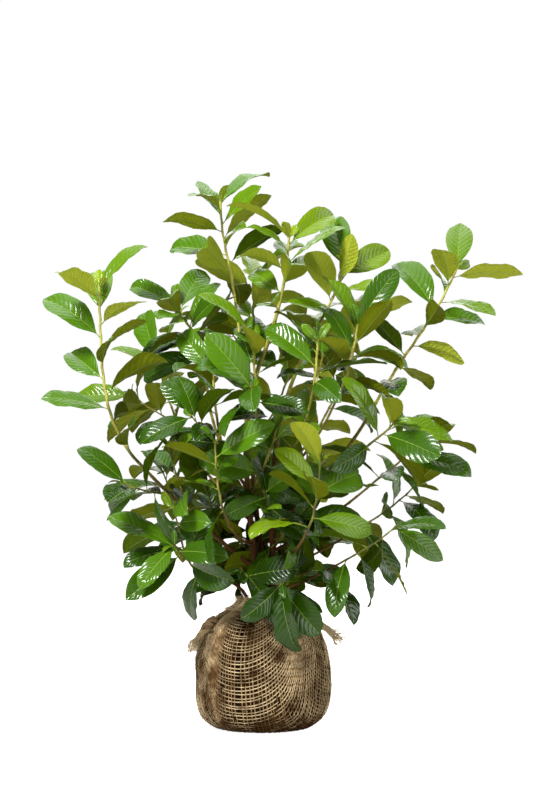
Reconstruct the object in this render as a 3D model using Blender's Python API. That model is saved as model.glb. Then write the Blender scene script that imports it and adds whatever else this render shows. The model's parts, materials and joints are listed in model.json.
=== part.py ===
"""A young cherry laurel on its hessian-wrapped root ball, as separate solids.

Metres, +Z up. The origin is the centre of the ball's flat underside, -Y is the front.
Bare limbs are tapering tubes. Each mass of foliage is one stem with side twigs and leaves,
fused into one solid, which starts a hair's breadth beyond the limb that carries it.
"""

import math
import random
from collections import namedtuple

import bmesh
import bpy
from mathutils import Vector
from mathutils.bvhtree import BVHTree

# ---------------------------------------------------------------- driving dimensions

GAP = 0.0003  # between solids that touch
CUT_MARGIN = 1.3  # a cutter's growth in gaps, because its facets lie inside its curve
WELD = 0.000002

BALL_RADIUS = 0.137
BALL_WIDEST = 0.095  # height of the widest ring
BALL_RISE = 0.150  # from the widest ring to where the dome would close
BALL_DROP = 0.105  # from the widest ring down to where the bowl would close
BALL_TOP = 0.240  # flat patch that the stems stand on
BALL_SQUARENESS = 2.65  # exponent of the ball's rounded profile, 2 is an ellipse
BALL_LUMP = 0.0030
CREASE_BEARING = -1.43  # radians, a little right of the front
CREASE_HALF_ANGLE = 0.16
CREASE_DEPTH = 1.6  # in lumps
BALL_FACETS = 28
BALL_RINGS = 16

COLLAR_RADIUS = 0.0505
COLLAR_THICKNESS = 0.0150
COLLAR_GATHERS = 9
COLLAR_WAVE = 0.0028
COLLAR_RISE = 0.18  # how far its rim waves up and down, as a share of its thickness
COLLAR_SIDES = 6
KNOT_SIDES = 8
KNOT_GIRTHS = (0.0165, 0.0030)

LEAF_LENGTH = 0.134  # petiole included
LEAF_WIDTH = 0.056
LEAF_THICKNESS = 0.0017
PETIOLE_RADIUS = 0.0015
ROOT_DEPTH = 0.012  # of a petiole, that may lie within its own stem
LEAF_CLEARANCE = 0.0008  # kept between one leaf and whatever it isn't fused to
LEAF_STATIONS = ((0.24, 0.60), (0.56, 1.00), (0.86, 0.64))  # share of length, share of width

GOLDEN_TURN = 137.5  # degrees from one leaf round the stem to the next
LEAF_LEANS = (80, 36)  # degrees off the stem, for the lowest leaf and the topmost
LEAN_CURVE = 1.5  # above 1 the lower leaves keep their wide stance for longer
LEAF_CROWDING = 0.8  # below 1 leaves stand closer together towards the tip
LEAF_SIZES = (0.84, 1.14)
LEAF_BENDS = (15, 60)  # degrees from a leaf's root to its tip
LEAF_ROLL = (15, 55)  # degrees, how far a petiole twists its blade, either way
BEARING_JITTER = 20
LEAN_JITTER = 14
LEAF_TRIES = ((0, 0), (18, 0), (-18, 0), (0, -14), (0, 14), (36, 0), (-36, 0), (30, -16), (-30, -16))
LIGHT = Vector((-0.15, -0.35, 0.92))  # where the light came from as the shrub grew
TURN_TO_STEM, TURN_TO_LIGHT, TURN_OUTWARDS = 0.35, 0.55, 0.25  # what an upper side faces

LIMB_SIDES = 6
LIMB_STEPS = 5
STEM_STEPS = 9
STUB = 0.005  # straight start of a stem that stands square on what carries it
STEM_FLARE = 0.45  # extra girth at the foot, as a share of the radius
FLARE_HEIGHT = 0.030

TWIG_SIDES = 4
TWIG_STEPS = 4
TWIG_GIRTHS = (0.0017, 0.0013)
TWIG_BOW = 0.04
AXIL_GIRTH = 0.62  # girth of a stem that leaves a limb's side, as a share of the limb's
STEM_BARE = 0.10  # share of a mass's stem, and of its twigs, below the lowest leaf
TWIG_BARE = 0.35
TWIG_LEAVES = 5
TWIG_START = (0.22, 0.25, 0.08)  # share of the stem at the first twig, to the next, and jitter
TWIG_BEARING = (80, 150, 20)  # degrees from the phase to the first twig, to the next, and jitter
TWIG_LENGTHS = (0.42, 0.55)  # as a share of the stem's
TWIG_RISE, TWIG_REACH = 0.75, 0.60  # along the stem and away from it
TWIG_TURN = 60  # degrees between the phase of a stem's leaves and of its twigs' leaves

UP = Vector((0, 0, 1))

# A stem rises from the ball. foot is its place on the ball, tip its far end, bow how far it
# bends towards its leaning side as a share of its length, girths its radii at both ends.
Stem = namedtuple("Stem", "name foot tip bow girths")
STEMS = (
    Stem("stem_left", (-0.012, -0.008), (0.006, -0.010, 0.752), -0.10, (0.0070, 0.0042)),
    Stem("stem_right", (0.022, 0.004), (0.080, 0.018, 0.735), -0.09, (0.0066, 0.0036)),
    Stem("stem_back", (0.000, 0.030), (-0.028, 0.130, 0.690), 0.08, (0.0062, 0.0034)),
    Stem("stem_low_left", (-0.028, -0.018), (-0.110, -0.056, 0.310), -0.10, (0.0030, 0.0025)),
)

# A bough leaves its parent at a share of the parent's length.
Bough = namedtuple("Bough", "name parent at tip bow girths")
BOUGHS = (
    Bough("bough_far_left", "stem_left", 0.15, (-0.244, -0.045, 0.530), 0.02, (0.0046, 0.0032)),
    Bough("bough_mid_left", "stem_left", 0.36, (-0.068, -0.060, 0.520), 0.08, (0.0036, 0.0030)),
    Bough("bough_left_upper", "stem_left", 0.46, (-0.112, 0.035, 0.724), 0.10, (0.0034, 0.0026)),
    Bough("bough_top_left", "stem_left", 0.64, (-0.056, 0.050, 0.866), -0.04, (0.0032, 0.0025)),
    Bough("bough_front_up", "stem_left", 0.54, (-0.012, -0.120, 0.612), 0.14, (0.0031, 0.0024)),
    Bough("bough_front_left", "stem_left", 0.25, (-0.070, -0.150, 0.430), 0.10, (0.0032, 0.0025)),
    Bough("bough_right_top", "stem_right", 0.31, (0.238, 0.030, 0.664), 0.05, (0.0042, 0.0032)),
    Bough("bough_right_upper", "stem_right", 0.48, (0.140, -0.062, 0.640), 0.06, (0.0032, 0.0024)),
    Bough("bough_right_mid_upper", "stem_right", 0.39, (0.202, -0.105, 0.560), 0.05, (0.0031, 0.0024)),
    Bough("bough_right_mid", "stem_right", 0.22, (0.224, -0.030, 0.492), 0.03, (0.0030, 0.0023)),
    Bough("bough_right_low", "stem_right", 0.13, (0.186, 0.050, 0.388), 0.02, (0.0028, 0.0021)),
    Bough("bough_right_lowest", "stem_right", 0.05, (0.156, -0.070, 0.334), 0.02, (0.0027, 0.0020)),
    Bough("bough_front_right", "stem_right", 0.58, (0.092, -0.118, 0.640), 0.14, (0.0030, 0.0023)),
    Bough("bough_front_bright", "stem_right", 0.17, (0.086, -0.160, 0.398), 0.08, (0.0031, 0.0024)),
    Bough("bough_back_left", "stem_back", 0.40, (-0.150, 0.160, 0.560), 0.08, (0.0034, 0.0025)),
    Bough("bough_back_right", "stem_back", 0.55, (0.130, 0.180, 0.620), 0.10, (0.0032, 0.0024)),
    Bough("bough_back_low", "stem_back", 0.26, (0.070, 0.205, 0.430), 0.08, (0.0032, 0.0024)),
    Bough("bough_back_low_left", "stem_back", 0.15, (-0.130, 0.140, 0.372), 0.06, (0.0031, 0.0024)),
)

# A mass of foliage grows on from its carrier, at a share of the carrier's length (1 is its
# tip). leaves counts the leaves on its stem, phase is the bearing of the topmost of them,
# twigs counts its side twigs, spread scales how far the leaves stand off the stem, and hang is
# how far they droop towards the ground (1 is straight down).
Mass = namedtuple("Mass", "name carrier at tip leaves phase twigs spread hang")
MASSES = (
    Mass("leaves_far_left", "bough_far_left", 1, (-0.322, -0.050, 0.874), 12, 10, 0, 0.84, 0.0),
    Mass("leaves_left_side", "bough_far_left", 0.72, (-0.274, -0.095, 0.492), 7, 205, 0, 1.0, 0.1),
    Mass("leaves_left_upright", "bough_far_left", 0.52, (-0.182, -0.085, 0.560), 7, 200, 0, 0.9, 0.0),
    Mass("leaves_left_inner", "bough_far_left", 0.28, (-0.112, 0.030, 0.500), 7, 300, 0, 1.0, 0.0),
    Mass("leaves_low_left", "stem_low_left", 1, (-0.172, -0.080, 0.436), 9, 190, 1, 1.1, 0.2),
    Mass("leaves_mid_left", "bough_mid_left", 1, (-0.096, -0.085, 0.708), 10, 160, 1, 1.0, 0.0),
    Mass("leaves_left_upper", "bough_left_upper", 1, (-0.170, 0.035, 0.846), 9, 175, 1, 1.0, 0.0),
    Mass("leaves_top_left", "bough_top_left", 1, (-0.084, 0.055, 1.050), 11, 20, 0, 0.85, 0.0),
    Mass("leaves_top_centre", "stem_left", 1, (0.054, -0.014, 0.976), 14, 167, 0, 1.0, 0.0),
    Mass("leaves_front_up", "bough_front_up", 1, (-0.016, -0.150, 0.760), 9, 200, 1, 0.95, 0.0),
    Mass("leaves_front_left", "bough_front_left", 1, (-0.090, -0.175, 0.570), 9, 250, 0, 1.0, 0.0),
    Mass("leaves_top_right", "stem_right", 1, (0.164, 0.028, 0.916), 12, 150, 0, 0.95, 0.0),
    Mass("leaves_right_top", "bough_right_top", 1, (0.392, 0.040, 0.916), 13, 138, 0, 1.0, 0.0),
    Mass("leaves_right_upper", "bough_right_upper", 1, (0.188, -0.070, 0.796), 11, 350, 0, 0.9, 0.0),
    Mass("leaves_right_mid_upper", "bough_right_mid_upper", 1, (0.254, -0.125, 0.606), 7, 0, 0, 1.0, 0.0),
    Mass("leaves_right_mid", "bough_right_mid", 1, (0.310, -0.030, 0.566), 8, 20, 0, 1.0, 0.1),
    Mass("leaves_right_low", "bough_right_low", 1, (0.310, 0.060, 0.480), 9, 330, 0, 1.0, 0.25),
    Mass("leaves_right_lowest", "bough_right_lowest", 1, (0.260, -0.090, 0.404), 7, 0, 0, 1.1, 0.4),
    Mass("leaves_front_right", "bough_front_right", 1, (0.108, -0.150, 0.766), 9, 20, 1, 0.95, 0.0),
    Mass("leaves_front_bright", "bough_front_bright", 1, (0.112, -0.190, 0.530), 9, 240, 0, 1.0, 0.0),
    Mass("leaves_centre", "stem_left", 0.42, (0.030, -0.110, 0.600), 9, 300, 0, 1.0, 0.0),
    Mass("leaves_centre_right", "stem_right", 0.26, (0.134, -0.110, 0.490), 8, 330, 0, 1.0, 0.0),
    Mass("leaves_back_top", "stem_back", 1, (-0.016, 0.165, 0.900), 11, 90, 1, 1.0, 0.0),
    Mass("leaves_back_left", "bough_back_left", 1, (-0.220, 0.205, 0.744), 9, 110, 1, 1.0, 0.0),
    Mass("leaves_back_right", "bough_back_right", 1, (0.196, 0.225, 0.796), 9, 40, 1, 1.0, 0.0),
    Mass("leaves_back_low", "bough_back_low", 1, (0.100, 0.285, 0.580), 9, 60, 1, 1.1, 0.1),
    Mass("leaves_back_low_left", "bough_back_low_left", 1, (-0.206, 0.200, 0.500), 9, 120, 0, 1.1, 0.1),
    Mass("leaves_inner_low", "stem_left", 0.27, (0.006, -0.130, 0.440), 8, 200, 0, 1.0, 0.1),
    Mass("leaves_inner_mid", "stem_back", 0.70, (0.060, 0.110, 0.720), 7, 20, 0, 1.0, 0.0),
    Mass("leaves_foot_left", "stem_left", 0.11, (-0.040, -0.095, 0.322), 7, 250, 0, 1.1, 0.35),
    Mass("leaves_foot_front", "stem_right", 0.10, (0.040, -0.168, 0.304), 8, 275, 0, 1.0, 0.55),
    Mass("leaves_foot_right", "stem_right", 0.11, (0.110, -0.070, 0.322), 7, 320, 0, 1.0, 0.35),
)

# A knot is a corner of the cloth, twisted and tucked under the tie.
Knot = namedtuple("Knot", "name root elbow tip girths")
KNOTS = (
    Knot("knot_left", (-0.092, -0.036, 0.212), (-0.122, -0.052, 0.206), (-0.142, -0.058, 0.160), KNOT_GIRTHS),
    Knot("knot_right", (0.088, -0.034, 0.220), (0.118, -0.050, 0.214), (0.156, -0.058, 0.182), KNOT_GIRTHS),
)

HESSIAN = ("hessian", (0.42, 0.27, 0.13), 0.95)
SOIL_CLOTH = ("cloth_over_soil", (0.23, 0.15, 0.08), 0.95)
OLD_BARK = ("old_bark", (0.13, 0.05, 0.025), 0.75)
LEAF_GREEN = ("leaf_green", (0.06, 0.16, 0.02), 0.30)


# ---------------------------------------------------------------- scene and materials


def clear_scene():
    for old in list(bpy.data.objects):
        bpy.data.objects.remove(old, do_unlink=True)


def new_collection(name):
    collection = bpy.data.collections.new(name)
    bpy.context.scene.collection.children.link(collection)
    return collection


def finish_material(finish):
    """The material of a finish, a name with its base colour and roughness, made once."""
    name, colour, roughness = finish
    material = bpy.data.materials.get(name)
    if material is None:
        material = bpy.data.materials.new(name)
        material.use_nodes = True
        shader = material.node_tree.nodes["Principled BSDF"]
        shader.inputs["Base Color"].default_value = (*colour, 1)
        shader.inputs["Roughness"].default_value = roughness
        shader.inputs["Metallic"].default_value = 0
    return material


def add_object(name, mesh, collection, finish):
    obj = bpy.data.objects.new(name, mesh)
    obj.data.materials.append(finish_material(finish))
    collection.objects.link(obj)
    return obj


def mesh_of(name, points, faces):
    """A closed mesh from points and faces, with its faces turned outwards."""
    mesh = bpy.data.meshes.new(name)
    mesh.from_pydata([tuple(p) for p in points], [], faces)
    shell = bmesh.new()
    shell.from_mesh(mesh)
    bmesh.ops.recalc_face_normals(shell, faces=shell.faces)
    if shell.calc_volume(signed=True) < 0:
        bmesh.ops.reverse_faces(shell, faces=shell.faces)
    shell.to_mesh(mesh)
    shell.free()
    return mesh


def apply_boolean(obj, operation, other=None, operands=None):
    """Cuts obj by another object, or fuses a collection of objects into it, and applies it."""
    modifier = obj.modifiers.new("shape", "BOOLEAN")
    modifier.operation = operation
    modifier.solver = "EXACT"
    if operands is None:
        modifier.object = other
    else:
        modifier.operand_type = "COLLECTION"
        modifier.collection = operands
    bpy.context.view_layer.update()
    evaluated = obj.evaluated_get(bpy.context.evaluated_depsgraph_get())
    shaped = bpy.data.meshes.new_from_object(evaluated)
    obj.modifiers.remove(modifier)
    spent = obj.data
    shaped.name = spent.name
    obj.data = shaped
    bpy.data.meshes.remove(spent)


def keep_largest_shell(obj):
    """Drops loose scraps and the inner shells of sealed hollows, which fills those hollows."""
    shell = bmesh.new()
    shell.from_mesh(obj.data)
    bmesh.ops.remove_doubles(shell, verts=shell.verts, dist=WELD)
    bmesh.ops.triangulate(shell, faces=shell.faces)
    unseen = set(shell.faces)
    pieces = []
    while unseen:
        front = [unseen.pop()]
        piece = set(front)
        while front:
            sides = [edge for edge in front.pop().edges if len(edge.link_faces) == 2]
            near = {face for edge in sides for face in edge.link_faces} & unseen
            unseen -= near
            piece |= near
            front.extend(near)
        pieces.append(piece)
    largest = max(pieces, key=len)
    strays = [face for face in shell.faces if face not in largest]
    bmesh.ops.delete(shell, geom=strays, context="FACES")
    shell.to_mesh(obj.data)
    shell.free()


# ---------------------------------------------------------------- paths and tubes


def bend_side(chord):
    """The unit direction square to a chord that points to its leaning, lower side."""
    side = -UP + UP.dot(chord) * chord
    return side.normalized()


def path_between(start, end, bow, lead=None, steps=LIMB_STEPS):
    """Points of a cubic from start to end, bent sideways by bow. With a lead it leaves straight
    along that direction for a stub first."""
    points = []
    if lead is not None:
        points.append(start)
        start = start + lead * STUB
    span = end - start
    elbow = (start + end) / 2 + bend_side(span.normalized()) * bow * span.length * 2
    handle_out = start + (elbow - start) * 2 / 3
    handle_in = end + (elbow - end) * 2 / 3
    if lead is not None:
        handle_out = start + lead * (handle_out - start).length
    for step in range(steps + 1):
        t = step / steps
        s = 1 - t
        points.append(
            s**3 * start + 3 * s * s * t * handle_out + 3 * s * t * t * handle_in + t**3 * end
        )
    return points


def shares_along(points):
    """Each point's distance along a path, as a share of the path's length."""
    reached = [0.0]
    for before, after in zip(points, points[1:]):
        reached.append(reached[-1] + (after - before).length)
    return [distance / reached[-1] for distance in reached]


def point_at(points, share):
    """The point and the direction at a share of a path's length."""
    shares = shares_along(points)
    index = 0
    while index < len(points) - 2 and shares[index + 1] < share:
        index += 1
    step = points[index + 1] - points[index]
    within = (share - shares[index]) / (shares[index + 1] - shares[index])
    return points[index] + step * within, step.normalized()


def tube_mesh(name, points, radii, sides):
    """A tapering closed tube along points: a bevelled curve, made a mesh with its caps welded."""
    curve = bpy.data.curves.new(name, "CURVE")
    curve.dimensions = "3D"
    curve.bevel_depth = 1
    curve.bevel_resolution = (sides - 4) // 2
    curve.use_fill_caps = True
    spline = curve.splines.new("POLY")
    spline.points.add(len(points) - 1)
    for knuckle, point, radius in zip(spline.points, points, radii):
        knuckle.co = (*point, 1)
        knuckle.radius = radius
    holder = bpy.data.objects.new(name, curve)
    bpy.context.scene.collection.objects.link(holder)
    bpy.context.view_layer.update()
    evaluated = holder.evaluated_get(bpy.context.evaluated_depsgraph_get())
    mesh = bpy.data.meshes.new_from_object(evaluated)
    bpy.data.objects.remove(holder)
    bpy.data.curves.remove(curve)
    mesh.name = name
    shell = bmesh.new()
    shell.from_mesh(mesh)
    bmesh.ops.remove_doubles(shell, verts=shell.verts, dist=WELD)
    bmesh.ops.recalc_face_normals(shell, faces=shell.faces)
    shell.to_mesh(mesh)
    shell.free()
    return mesh


def taper(girths, points):
    """A radius for each point, which falls evenly along the path from one girth to the other."""
    return [girths[0] + (girths[1] - girths[0]) * share for share in shares_along(points)]


# ---------------------------------------------------------------- root ball


def ball_lump(bearing, height):
    """How far the packed soil bulges or dips: slow waves round it and a crease down its front."""
    belly = math.sin(math.pi * min(max(height / BALL_TOP, 0), 1))
    wave = math.sin(3 * bearing + 0.6) + 0.7 * math.sin(5 * bearing + 25 * height)
    off_crease = math.remainder(bearing - CREASE_BEARING, 2 * math.pi) / CREASE_HALF_ANGLE
    return BALL_LUMP * belly * (wave - CREASE_DEPTH * math.exp(-(off_crease**2)))


def ball_point(bearing, slope):
    """A point of the sack: a rounded-square profile, cut flat below and above, and lumped."""
    power = 2 / BALL_SQUARENESS
    reach = BALL_RISE if slope > 0 else BALL_DROP
    height = BALL_WIDEST + math.copysign(abs(math.sin(slope)) ** power * reach, slope)
    height = min(max(height, 0), BALL_TOP)
    radius = BALL_RADIUS * max(math.cos(slope), 0) ** power
    radius += ball_lump(bearing, height) * min(radius / BALL_RADIUS, 1)
    return Vector((math.cos(bearing) * radius, math.sin(bearing) * radius, height))


def build_root_ball(collection):
    shell = bmesh.new()
    bmesh.ops.create_uvsphere(shell, u_segments=BALL_FACETS, v_segments=BALL_RINGS, radius=1)
    for vert in shell.verts:
        bearing = math.atan2(vert.co.y, vert.co.x)
        vert.co = ball_point(bearing, math.asin(max(-1, min(1, vert.co.z))))
    mesh = bpy.data.meshes.new("root_ball")
    shell.to_mesh(mesh)
    shell.free()
    mesh.shade_smooth()
    return add_object("root_ball", mesh, collection, SOIL_CLOTH)


def build_collar(collection):
    """The gathered cloth round the stems: a ring whose girth and height wave."""
    bpy.ops.mesh.primitive_torus_add(
        major_segments=COLLAR_GATHERS * 4,
        minor_segments=COLLAR_SIDES,
        major_radius=COLLAR_RADIUS,
        minor_radius=COLLAR_THICKNESS / 2,
    )
    ring = bpy.context.active_object
    for vert in ring.data.vertices:
        bearing = math.atan2(vert.co.y, vert.co.x)
        wave = math.sin(COLLAR_GATHERS * bearing)
        rise = 1 + COLLAR_RISE * math.sin(2 * COLLAR_GATHERS * bearing + 1)
        vert.co.x += math.cos(bearing) * COLLAR_WAVE * wave
        vert.co.y += math.sin(bearing) * COLLAR_WAVE * wave
        vert.co.z = BALL_TOP + GAP + (vert.co.z + COLLAR_THICKNESS / 2) * rise
    ring.name = "neck_collar"
    ring.data.name = "neck_collar"
    ring.data.materials.append(finish_material(HESSIAN))
    ring.data.shade_smooth()
    for holder in list(ring.users_collection):
        holder.objects.unlink(ring)
    collection.objects.link(ring)
    return ring


def build_knots(collection, cutters):
    """The twisted corners of the cloth, each cut clear of the ball that it lies on."""
    swollen = ball_cutter(cutters)
    for knot in KNOTS:
        root, elbow, tip = (Vector(place) for place in (knot.root, knot.elbow, knot.tip))
        points = path_between(root, tip, 0, (elbow - root).normalized())
        mesh = tube_mesh(knot.name, points, taper(knot.girths, points), KNOT_SIDES)
        obj = add_object(knot.name, mesh, collection, HESSIAN)
        apply_boolean(obj, "DIFFERENCE", swollen)
        keep_largest_shell(obj)
        obj.data.shade_smooth()


def ball_cutter(cutters):
    """The ball grown by the gap, which cuts what lies on it."""
    mesh = bpy.data.objects["root_ball"].data.copy()
    for vert in mesh.vertices:
        vert.co += vert.normal * GAP * CUT_MARGIN
    return add_cutter("swollen_ball", mesh, cutters)


def add_cutter(name, mesh, cutters):
    cutter = add_object(name, mesh, cutters, SOIL_CLOTH)
    cutter.hide_render = True
    cutter.display_type = "WIRE"
    return cutter


# ---------------------------------------------------------------- bare limbs

limbs = {}  # name: (points, radii)


def stem_radii(stem, points):
    """A stem's even taper, widened at its foot by the root flare."""
    radii = taper(stem.girths, points)
    for index, point in enumerate(points):
        height = point.z - points[0].z
        radii[index] *= 1 + STEM_FLARE * math.exp(-height / FLARE_HEIGHT)
    return radii


def build_stems(collection):
    for stem in STEMS:
        foot = Vector((*stem.foot, BALL_TOP + GAP))
        points = path_between(foot, Vector(stem.tip), stem.bow, UP, STEM_STEPS)
        radii = stem_radii(stem, points)
        limbs[stem.name] = (points, radii)
        mesh = tube_mesh(stem.name, points, radii, LIMB_SIDES)
        mesh.shade_smooth()
        add_object(stem.name, mesh, collection, OLD_BARK)


def build_boughs(collection, cutters):
    for bough in BOUGHS:
        start, _ = point_at(limbs[bough.parent][0], bough.at)
        points = path_between(start, Vector(bough.tip), bough.bow)
        radii = taper(bough.girths, points)
        limbs[bough.name] = (points, radii)
        obj = add_object(
            bough.name, tube_mesh(bough.name, points, radii, LIMB_SIDES), collection, OLD_BARK
        )
        cut_clear(obj, bough.parent, cutters)
        obj.data.shade_smooth()


def cut_clear(obj, parent, cutters):
    """Cuts the root of a limb or a mass clear of the limb it grows from."""
    points, radii = limbs[parent]
    swollen = [radius + GAP * CUT_MARGIN for radius in radii]
    mesh = tube_mesh("swollen_" + parent, points, swollen, LIMB_SIDES)
    cutter = add_cutter("swollen_" + parent, mesh, cutters)
    apply_boolean(obj, "DIFFERENCE", cutter)
    bpy.data.objects.remove(cutter)
    keep_largest_shell(obj)


# ---------------------------------------------------------------- leaves

Leaf = namedtuple("Leaf", "root along up length bend")


def blade_centre(leaf, share):
    """The point at a share of a blade, which arcs away from its upper side, and its up there."""
    turned = leaf.bend * share
    forward = math.sin(turned) / leaf.bend
    dropped = (1 - math.cos(turned)) / leaf.bend
    centre = leaf.root + (leaf.along * forward - leaf.up * dropped) * leaf.length
    return centre, leaf.up * math.cos(turned) + leaf.along * math.sin(turned)


def leaf_points(leaf, growth=0.0):
    """Three-cornered sections from the petiole's root outwards: two edges and a keel. growth is
    added all round the blade."""
    across = leaf.along.cross(leaf.up)
    thickness = LEAF_THICKNESS + 2 * growth
    root, up = blade_centre(leaf, 0)
    points = [
        root + across * PETIOLE_RADIUS + up * PETIOLE_RADIUS / 2,
        root - across * PETIOLE_RADIUS + up * PETIOLE_RADIUS / 2,
        root - up * PETIOLE_RADIUS,
    ]
    for share, width_share in LEAF_STATIONS:
        centre, up = blade_centre(leaf, share)
        edge = across * (LEAF_WIDTH / LEAF_LENGTH * leaf.length * width_share / 2 + growth)
        rim = centre + up * thickness / 2
        points += [rim + edge, rim - edge, centre - up * thickness / 2]
    points.append(blade_centre(leaf, 1)[0])
    return points


def leaf_faces():
    faces = [(2, 1, 0)]
    for section in range(len(LEAF_STATIONS)):
        near, far = section * 3, section * 3 + 3
        for side in range(3):
            after = (side + 1) % 3
            faces.append((near + side, near + after, far + after, far + side))
    last = len(LEAF_STATIONS) * 3
    for side in range(3):
        faces.append((last + side, last + (side + 1) % 3, last + 3))
    return faces


def leaf_on(mass, point, stem_direction, bearing, lean, length, rng):
    """A leaf that leaves its stem at a bearing, hangs, turns to the light and arches."""
    tilt = UP.rotation_difference(stem_direction)
    outward = tilt @ Vector((math.cos(bearing), math.sin(bearing), 0))
    along = (stem_direction * math.cos(lean) + outward * math.sin(lean)).normalized()
    along = (along * (1 - mass.hang) - UP * mass.hang).normalized()
    clear_side = Vector((point.x, point.y, 0)).normalized()
    light = stem_direction * TURN_TO_STEM + LIGHT * TURN_TO_LIGHT + clear_side * TURN_OUTWARDS
    across = along.cross(light).normalized()
    up = across.cross(along).normalized()
    roll = math.radians(rng.choice((-1, 1)) * rng.uniform(*LEAF_ROLL))
    up = up * math.cos(roll) + across * math.sin(roll)
    bend = math.radians(rng.uniform(*LEAF_BENDS))
    return Leaf(point, along, up, length, bend)


def tree_of(points, faces):
    return BVHTree.FromPolygons([tuple(p) for p in points], faces)


class Crowd:
    """All that stands so far, so that a new leaf can be kept clear of it."""

    def __init__(self):
        self.items = []

    def add(self, owner, points, faces):
        low = Vector(min(p[i] for p in points) for i in range(3))
        high = Vector(max(p[i] for p in points) for i in range(3))
        self.items.append((owner, low, high, tree_of(points, faces)))

    def touches(self, points, faces, skipped):
        low = Vector(min(p[i] for p in points) for i in range(3))
        high = Vector(max(p[i] for p in points) for i in range(3))
        tree = None
        for owner, other_low, other_high, other in self.items:
            if owner == skipped:
                continue
            if any(low[i] > other_high[i] or high[i] < other_low[i] for i in range(3)):
                continue
            if tree is None:
                tree = tree_of(points, faces)
            if tree.overlap(other):
                return True
        return False


crowd = Crowd()


def add_mesh_to_crowd(owner, mesh, growth):
    points = [vert.co + vert.normal * growth for vert in mesh.vertices]
    crowd.add(owner, points, [tuple(face.vertices) for face in mesh.polygons])


def fitted_leaf(mass, point, direction, bearing, lean, length, rng):
    """The first of a few turnings of a leaf that touches nothing, or None."""
    faces = leaf_faces()
    state = rng.getstate()
    for turn, tilt in LEAF_TRIES:
        rng.setstate(state)
        leaf = leaf_on(
            mass, point, direction, bearing + math.radians(turn), lean + math.radians(tilt), length, rng
        )
        whole = leaf_points(leaf, LEAF_CLEARANCE)
        blade = leaf_points(leaf._replace(root=leaf.root + leaf.along * ROOT_DEPTH))
        if not crowd.touches(whole, faces, mass.name) and not crowd.touches(blade, faces, None):
            crowd.add(mass.name + "_leaf", whole, faces)
            return leaf
    return None


# ---------------------------------------------------------------- masses of foliage


def stem_leaves(mass, points, count, phase, low_share, rng):
    """Leaves in a spiral up a stem: lower ones spread and hang, upper ones stand up."""
    leaves = []
    for index in range(count):
        share = low_share + (1 - low_share) * (index / (count - 1)) ** LEAF_CROWDING
        point, direction = point_at(points, share)
        turn = phase - GOLDEN_TURN * (count - 1 - index)
        bearing = math.radians(turn + rng.uniform(-BEARING_JITTER, BEARING_JITTER))
        stance = LEAF_LEANS[0] + (LEAF_LEANS[1] - LEAF_LEANS[0]) * share**LEAN_CURVE
        lean = math.radians(stance * mass.spread + rng.uniform(-LEAN_JITTER, LEAN_JITTER))
        length = LEAF_LENGTH * rng.uniform(*LEAF_SIZES)
        leaf = fitted_leaf(mass, point, direction, bearing, lean, length, rng)
        if leaf is not None:
            leaves.append(leaf)
    return leaves


def mass_stem(mass):
    """The path and radii of a mass's own stem, which grows on from a tip or out of a side."""
    points, radii = limbs[mass.carrier]
    start, direction = point_at(points, mass.at)
    if mass.at == 1:
        path = path_between(start + direction * GAP, Vector(mass.tip), TWIG_BOW, direction, TWIG_STEPS)
        return path, taper((radii[-1], TWIG_GIRTHS[1]), path)
    path = path_between(start, Vector(mass.tip), TWIG_BOW, steps=TWIG_STEPS + 1)
    return path, taper((radii[-1] * AXIL_GIRTH, TWIG_GIRTHS[1]), path)


def side_twigs(mass, path, rng):
    """The mass's side twigs: each leaves its stem in a leaf's axil and curves up."""
    twigs = []
    length = (path[-1] - path[0]).length
    for index in range(mass.twigs):
        share = TWIG_START[0] + TWIG_START[1] * index + rng.uniform(0, TWIG_START[2])
        point, direction = point_at(path, share)
        tilt = UP.rotation_difference(direction)
        turn = mass.phase + TWIG_BEARING[0] + TWIG_BEARING[1] * index
        bearing = math.radians(turn + rng.uniform(-TWIG_BEARING[2], TWIG_BEARING[2]))
        outward = tilt @ Vector((math.cos(bearing), math.sin(bearing), 0))
        way = (direction * TWIG_RISE + outward * TWIG_REACH).normalized()
        tip = point + way * length * rng.uniform(*TWIG_LENGTHS)
        twigs.append(path_between(point, tip, TWIG_BOW, steps=TWIG_STEPS))
    return twigs


stem_paths = {}


def plan_masses():
    """Lays every mass's stem and twigs before the first leaf, so that leaves miss them all."""
    for mass in MASSES:
        rng = random.Random(mass.name)
        path, radii = mass_stem(mass)
        twigs = side_twigs(mass, path, rng)
        stem_paths[mass.name] = (path, radii, twigs, rng)
        for line, girths in [(path, radii)] + [(twig, taper(TWIG_GIRTHS, twig)) for twig in twigs]:
            mesh = tube_mesh("room", line, [girth + LEAF_CLEARANCE for girth in girths], TWIG_SIDES)
            add_mesh_to_crowd(mass.name, mesh, 0)
            bpy.data.meshes.remove(mesh)


def build_mass(mass, collection, cutters):
    """One mass: its stem, with its twigs and leaves fused on, cut clear of a limb's side."""
    path, radii, twigs, rng = stem_paths[mass.name]
    obj = add_object(mass.name, tube_mesh(mass.name, path, radii, TWIG_SIDES), collection, LEAF_GREEN)
    operands = new_collection("fused_" + mass.name)
    leaves = stem_leaves(mass, path, mass.leaves, mass.phase, STEM_BARE, rng)
    for twig in twigs:
        mesh = tube_mesh("twig", twig, taper(TWIG_GIRTHS, twig), TWIG_SIDES)
        add_object("twig", mesh, operands, LEAF_GREEN)
        leaves += stem_leaves(mass, twig, TWIG_LEAVES, mass.phase + TWIG_TURN, TWIG_BARE, rng)
    for leaf in leaves:
        add_object("leaf", mesh_of("leaf", leaf_points(leaf), leaf_faces()), operands, LEAF_GREEN)
    apply_boolean(obj, "UNION", operands=operands)
    for spent in list(operands.objects):
        bpy.data.objects.remove(spent)
    bpy.data.collections.remove(operands)
    keep_largest_shell(obj)
    if mass.at < 1:
        cut_clear(obj, mass.carrier, cutters)


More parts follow.
